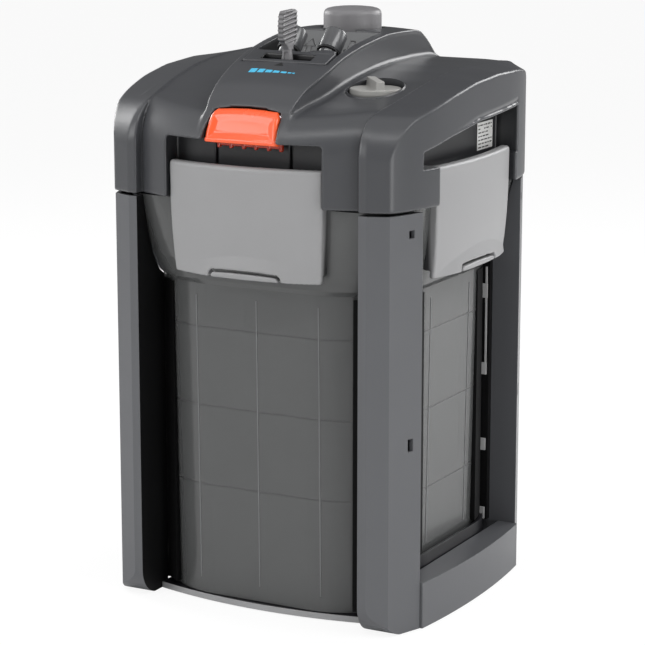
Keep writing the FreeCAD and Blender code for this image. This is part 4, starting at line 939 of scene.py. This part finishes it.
# ---------------------------------------------------------------- lines on the container
def on_shell(along, z, off, face):
    """(x, y) off the container wall; along is X on front and back, Y on the sides."""
    rise = (z - 5.4) / (221 - 5.4)
    half, depth, radius = 92.8 + 3.2 * rise, 91.8 + 3.2 * rise, 56.5 + 1.5 * rise
    if face in ("right", "left"):
        half, depth = depth, half
    flat = half - radius
    if abs(along) <= flat:
        normal, wall = (0.0, 1.0), (along, depth)
    else:
        sine = min((abs(along) - flat) / radius, 0.999)
        cosine = math.sqrt(1 - sine * sine)
        normal = (math.copysign(sine, along), cosine)
        wall = (math.copysign(flat + radius * sine, along), depth - radius + radius * cosine)
    across, out = wall[0] + normal[0] * off, wall[1] + normal[1] * off
    places = {
        "front": (across, -out), "back": (across, out),
        "right": (out, across), "left": (-out, across)}
    return places[face]


def strips(name, paths, wide, upright, proud, material):
    """Raised strips along paths of (along, z) points, each path with its face."""
    verts, faces = [], []
    for path, face in paths:
        base = len(verts)
        for along, z in path:
            for shift, off in (
                (-wide / 2, -0.2), (-wide / 2, proud), (wide / 2, proud), (wide / 2, -0.2),
            ):
                side, height = (along + shift, z) if upright else (along, z + shift)
                verts.append((*on_shell(side, height, off, face), height))
        end = base + 4 * (len(path) - 1)
        for start in range(base, end, 4):
            for k in range(4):
                here, after = start + k, start + (k + 1) % 4
                faces.append((here, after, after + 4, here + 4))
        faces.append((base, base + 1, base + 2, base + 3))
        faces.append((end + 3, end + 2, end + 1, end))
    obj = mesh_object(name, verts, faces, smooth=False)
    clean(obj)
    stands(obj, "housing", "smoked_shell", material=material)


# faces, places of the ribs, lowest point, points on a rib, reach and points of a line
WALLS = (
    (("front", "back"), (-46, 0, 46), 16, 12, 70, 41),
    (("right", "left"), (-30, 30), 44, 10, 58, 31),
)
ribs, lines = [], []
for walls, rib_places, foot, rib_points, reach, line_points in WALLS:
    for face in walls:
        for along in rib_places:
            ribs.append(([(along, z) for z in np.linspace(foot, 213, rib_points)], face))
        for z in (82.7, 137.7, 191.7):
            lines.append(([(along, z) for along in np.linspace(-reach, reach, line_points)], face))
strips("container_ribs", ribs, wide=0.8, upright=True, proud=0.28, material="rib_grey")
strips("container_lines", lines, wide=0.7, upright=False, proud=0.1, material="line_dark")


# ---------------------------------------------------------------- bars on the rating label
def box_mm(node):
    low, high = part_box(node)
    return np.array(low) / MM, np.array(high) / MM


label_x = box_mm("rating_label")[1][0]
label_rng = np.random.default_rng(3)
verts, faces = [], []
for row in range(7):
    z = 319.6 - row * 2.5
    low_z, high_z = z - 0.42, z + 0.42
    y = 34.0
    while y < 54.5:
        width = label_rng.uniform(1.4, 5.0)
        if label_rng.uniform() < 0.8:
            end = min(y + width, 55.6)
            base = len(verts)
            verts += [
                (label_x + dx, *corner) for dx in (-0.05, 0.05)
                for corner in ((y, low_z), (end, low_z), (end, high_z), (y, high_z))]
            faces += [tuple(base + i for i in face) for face in (
                (4, 5, 6, 7), (3, 2, 1, 0), (0, 1, 5, 4), (1, 2, 6, 5), (2, 3, 7, 6), (3, 0, 4, 7))]
        y += width + 1.1
obj = mesh_object("rating_label_bars", verts, faces, smooth=False)
stands(obj, "housing", "label_white", material="mark_black")

# ---------------------------------------------------------------- filter pads
PAD_STEP = 1.8


def soft_pad(node, name, slot, lump, seed):
    """A rounded block with an uneven, pillowy surface."""
    low, high = box_mm(node)
    centre, half = (low + high) / 2, (high - low) / 2
    phase = np.random.default_rng(seed).uniform(0, 6.28, 12)

    def field(x, y, z):
        waves = (
            np.sin(x * 0.31 + phase[0]) * np.sin(y * 0.27 + phase[1])
            + 0.6 * np.sin(x * 0.83 + phase[2] + 0.4 * y) * np.sin(z * 0.7 + phase[3])
            + 0.5 * np.sin(y * 1.13 + phase[4]) * np.sin(x * 1.31 + phase[5])
            + 0.35 * np.sin(z * 1.9 + y * 0.9 + phase[6])
        )
        dist = box((x, y), centre[:2], half[:2] - 0.5, min(half[0], half[1]) * 0.55)
        dist = both(dist, np.abs(z - centre[2]) - half[2] + 0.4, min(3.0, half[2] * 0.6))
        return dist + lump * (waves + 1.6) * 0.35

    obj = moulded(name, field, low - 1, high + 1, full=PAD_STEP)[0]
    stands(obj, "housing", slot, node)


soft_pad("prefilter_foam", "prefilter_foam_sponge", "foam_blue", lump=0.5, seed=1)
soft_pad("filter_pad_coarse", "filter_pad_coarse_sponge", "foam_blue", lump=0.5, seed=2)
soft_pad("filter_pad_fine", "filter_pad_fine_fleece", "fleece_white", lump=0.6, seed=3)

# ---------------------------------------------------------------- loose filter media
rng = np.random.default_rng(7)


def heap(node, name, slot, unit, step, spread):
    """Small tumbled pieces along the outside of a CAD node's box."""
    low, high = box_mm(node)
    unit_verts, unit_faces = unit
    verts, faces = [], []
    counts = [max(int((high[k] - low[k] - step) / step) + 1, 1) for k in range(3)]
    gaps = np.maximum(np.array(counts) - 1, 1)
    centre, half = (low + high) / 2, (high - low) / 2
    for cell in np.ndindex(*counts):
        if all(0 < i < count - 1 for i, count in zip(cell, counts)):
            continue
        shift = np.array(cell) + rng.uniform(-spread, spread, 3)
        spot = low + step / 2 + shift * (high - low - step) / gaps
        spot = np.clip(spot, low + step * 0.52, high - step * 0.52)
        if box((spot[:1], spot[1:2]), centre, half, 44)[0] > -step * 0.6:
            continue
        turn = rng.uniform(0, 6.28)
        axis = Vector(rng.normal(size=3)).normalized()
        rotation = np.array(Matrix.Rotation(turn, 3, axis))
        faces.append(unit_faces + len(verts) * len(unit_verts))
        verts.append(unit_verts * rng.uniform(0.85, 1.08) @ rotation.T + spot)
    obj = mesh_object(name, np.concatenate(verts), np.concatenate(faces))
    stands(obj, "housing", slot, node)


def ring_unit(radius, hole, half):
    points = []
    for reach, z in ((radius, -half), (radius, half), (hole, half), (hole, -half)):
        points += ring_points(reach, z, 10)
    return np.array(points), np.array(ring_faces(4, 10))


def pebble_unit(radius):
    mesh = bmesh.new()
    bmesh.ops.create_cube(mesh, size=2)
    bmesh.ops.subdivide_edges(mesh, edges=mesh.edges, cuts=2, use_grid_fill=True)
    verts = np.array([vert.co[:] for vert in mesh.verts])
    verts = verts / np.linalg.norm(verts, axis=1)[:, None] * radius
    verts *= np.array([1.0, 0.85, 0.75])
    faces = np.array([[vert.index for vert in face.verts] for face in mesh.faces])
    mesh.free()
    return verts, faces


rings = ring_unit(radius=4.2, hole=2.3, half=4.6)
heap("media_rings", "media_rings_loose", "ceramic", rings, step=10.5, spread=0.22)
pebbles = pebble_unit(radius=3.5)
heap("media_substrate", "media_substrate_granules", "media_clay", pebbles, step=7.4, spread=0.24)

# ---------------------------------------------------------------- CAD nodes that stay in view
replaced = set()
for obj in bpy.data.objects:
    replaced.update(obj.get("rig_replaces", []))
for part in frame["record"]["subparts"]:
    if part["node"] not in replaced:
        slot = part["material_slot"]
        wear(NODES[part["node"]], slot, "cover_cad" if slot == "cover_plastic" else slot)


def repaint(node, material, test):
    """Gives some faces a second finish; test takes face centres (mm) and normals."""
    mesh = NODES[node].data
    centres, normals = np.empty((2, len(mesh.polygons) * 3), np.float32)
    mesh.polygons.foreach_get("center", centres)
    mesh.polygons.foreach_get("normal", normals)
    mesh.materials.append(MATERIALS[material])
    chosen = test(centres.reshape(-1, 3) / MM, normals.reshape(-1, 3))
    index = np.where(chosen, len(mesh.materials) - 1, 0).astype(np.int32)
    mesh.polygons.foreach_set("material_index", index)
    mesh.update()


def post_inside(centre, normal):
    """Faces of a corner post that look towards the middle; they get painted shade."""
    inward = normal * np.sign(centre) < -0.55
    reach = np.abs(centre)
    return (inward[:, 0] & (reach[:, 0] < 92)) | (inward[:, 1] & (reach[:, 1] > 78))


def tray_rail(centre, normal):
    """Low faces of the base tray that look out to front and back."""
    outward = normal[:, 1] * np.sign(centre[:, 1]) > 0.3
    return (np.abs(centre[:, 1]) > 84) & (centre[:, 2] < 8.5) & outward


def liner_tabs(centre, normal):
    x, y = np.abs(centre[:, 0]), np.abs(centre[:, 1])
    strip = (y < 71.58) & (y > 70.3) & (x > 87.0) & (x < 91.3)
    return strip & (np.hypot(x - 38, y - 37) > 59.15)


# the inner faces of the corner posts get deep black as painted shade
for end in ("front", "rear"):
    for side in ("left", "right"):
        node = "corner_post_%s_%s" % (end, side)
        if node in NODES:
            repaint(node, "deep_black", post_inside)
repaint("base_tray", "rail_light", tray_rail)
if "corner_liners" in NODES:
    NODES["corner_liners"].data.materials[0] = MATERIALS["deep_black"]
    repaint("corner_liners", "tab_grey", liner_tabs)

# ---------------------------------------------------------------- camera (metres from here on)
CAMERA_PLACE = (0.7757, -1.4499, 0.5374)
azimuth, elevation = math.radians(28.195), math.radians(12.242)
camera_data = bpy.data.cameras.new("camera")
camera_data.sensor_width = 36
camera_data.lens = 135.7
camera = bpy.data.objects.new("camera", camera_data)
bpy.context.scene.collection.objects.link(camera)
back = Vector((
    math.sin(azimuth) * math.cos(elevation), -math.cos(azimuth) * math.cos(elevation),
    math.sin(elevation)))
right = Vector((-0.1002, 0.1869, 0.9773)).cross(back).normalized()
up = back.cross(right).normalized()
rotation = Matrix((right, up, back)).transposed().to_4x4()
camera.matrix_world = Matrix.Translation(Vector(CAMERA_PLACE)) @ rotation
bpy.context.scene.camera = camera

# ---------------------------------------------------------------- world
world = bpy.data.worlds.new("studio")
bpy.context.scene.world = world
world.use_nodes = True
sky = world.node_tree
background = sky.nodes["Background"]
direction = add_node(sky, "ShaderNodeTexCoord", {}).outputs["Generated"]
axes = add_node(sky, "ShaderNodeSeparateXYZ", {0: direction}).outputs


def sky_math(operation, first, second):
    inputs = {0: first, 1: second}
    return add_node(sky, "ShaderNodeMath", inputs, operation=operation).outputs[0]


def glow(socket, start, full, strength):
    """Light that grows smoothly from nothing at start to strength at full."""
    inputs = {
        "From Min": start, "From Max": full, "To Min": 0.0, "To Max": strength, "Value": socket}
    node = add_node(sky, "ShaderNodeMapRange", inputs, interpolation_type="SMOOTHSTEP")
    return node.outputs["Result"]


# an even light, brighter from above, right and left, darker from the back
ambient = sky_math("ADD", 0.42, glow(axes["Z"], start=0.70, full=0.98, strength=0.45))
ambient = sky_math("ADD", ambient, glow(axes["X"], start=0.45, full=0.98, strength=0.2))
leftward = sky_math("MULTIPLY", axes["X"], -1.0)
ambient = sky_math("ADD", ambient, glow(leftward, start=0.45, full=0.95, strength=0.45))
ambient = sky_math("SUBTRACT", ambient, glow(axes["Y"], start=0.05, full=0.7, strength=0.33))
seen = add_node(sky, "ShaderNodeLightPath", {}).outputs["Is Camera Ray"]
strength = add_node(
    sky, "ShaderNodeMix", {"Factor": seen, "A": ambient, "B": 1.0}, data_type="FLOAT")
sky.links.new(strength.outputs["Result"], background.inputs["Strength"])
background.inputs["Color"].default_value = (1, 1, 1, 1)

# ---------------------------------------------------------------- lights
# name, place, aim, width, height, watts
for name, place, aim, width, height, power in (
    ("key", (-0.85, -1.3, 0.85), (0, -0.05, 0.2), 0.8, 0.8, 8),
    ("strip", (0.0, -0.85, 1.5), (0, -0.1, 0.33), 1.5, 0.16, 5),
    ("side", (1.05, -0.1, 1.35), (0.1, 0, 0.34), 0.9, 0.6, 9),
    ("back", (0.65, 1.15, 0.85), (0.05, 0, 0.34), 1.0, 0.6, 12),
    ("low", (1.5, -0.5, 0.16), (0.1, 0, 0.1), 1.1, 0.3, 5),
    ("left", (-1.3, 0.2, 0.75), (-0.1, 0, 0.33), 0.7, 0.5, 9),
):
    light = bpy.data.lights.new(name, "AREA")
    light.shape = "RECTANGLE"
    light.size, light.size_y, light.energy = width, height, power
    obj = bpy.data.objects.new(name, light)
    bpy.context.scene.collection.objects.link(obj)
    obj.location = place
    obj.rotation_euler = (Vector(aim) - Vector(place)).to_track_quat("-Z", "Y").to_euler()

# ---------------------------------------------------------------- floor
HALF_FLOOR = 14000  # millimetres, as mesh_object takes them
floor_corners = [(i * HALF_FLOOR, j * HALF_FLOOR, 0) for i, j in ((-1, -1), (1, -1), (1, 1), (-1, 1))]
floor = mesh_object("floor", floor_corners, [(0, 1, 2, 3)], smooth=False)
material = bpy.data.materials.new("floor")
material.use_nodes = True
tree = material.node_tree
surface = tree.nodes["Principled BSDF"]
surface.inputs["Base Color"].default_value = (0.86, 0.86, 0.86, 1)
surface.inputs["Roughness"].default_value = 0.95
surface.inputs["Specular IOR Level"].default_value = 0.1
# the camera sees mostly an even white
white = add_node(tree, "ShaderNodeEmission", {"Strength": 1.03}).outputs["Emission"]
seen = add_node(tree, "ShaderNodeLightPath", {}).outputs["Is Camera Ray"]
share = add_node(tree, "ShaderNodeMath", {0: seen, 1: 0.86}, operation="MULTIPLY").outputs[0]
mix = add_node(
    tree, "ShaderNodeMixShader", {"Fac": share, 1: surface.outputs["BSDF"], 2: white})
tree.links.new(mix.outputs["Shader"], tree.nodes["Material Output"].inputs["Surface"])
floor.data.materials.append(material)

bpy.context.scene.view_settings.view_transform = "Standard"
bpy.context.scene.view_settings.look = "None"
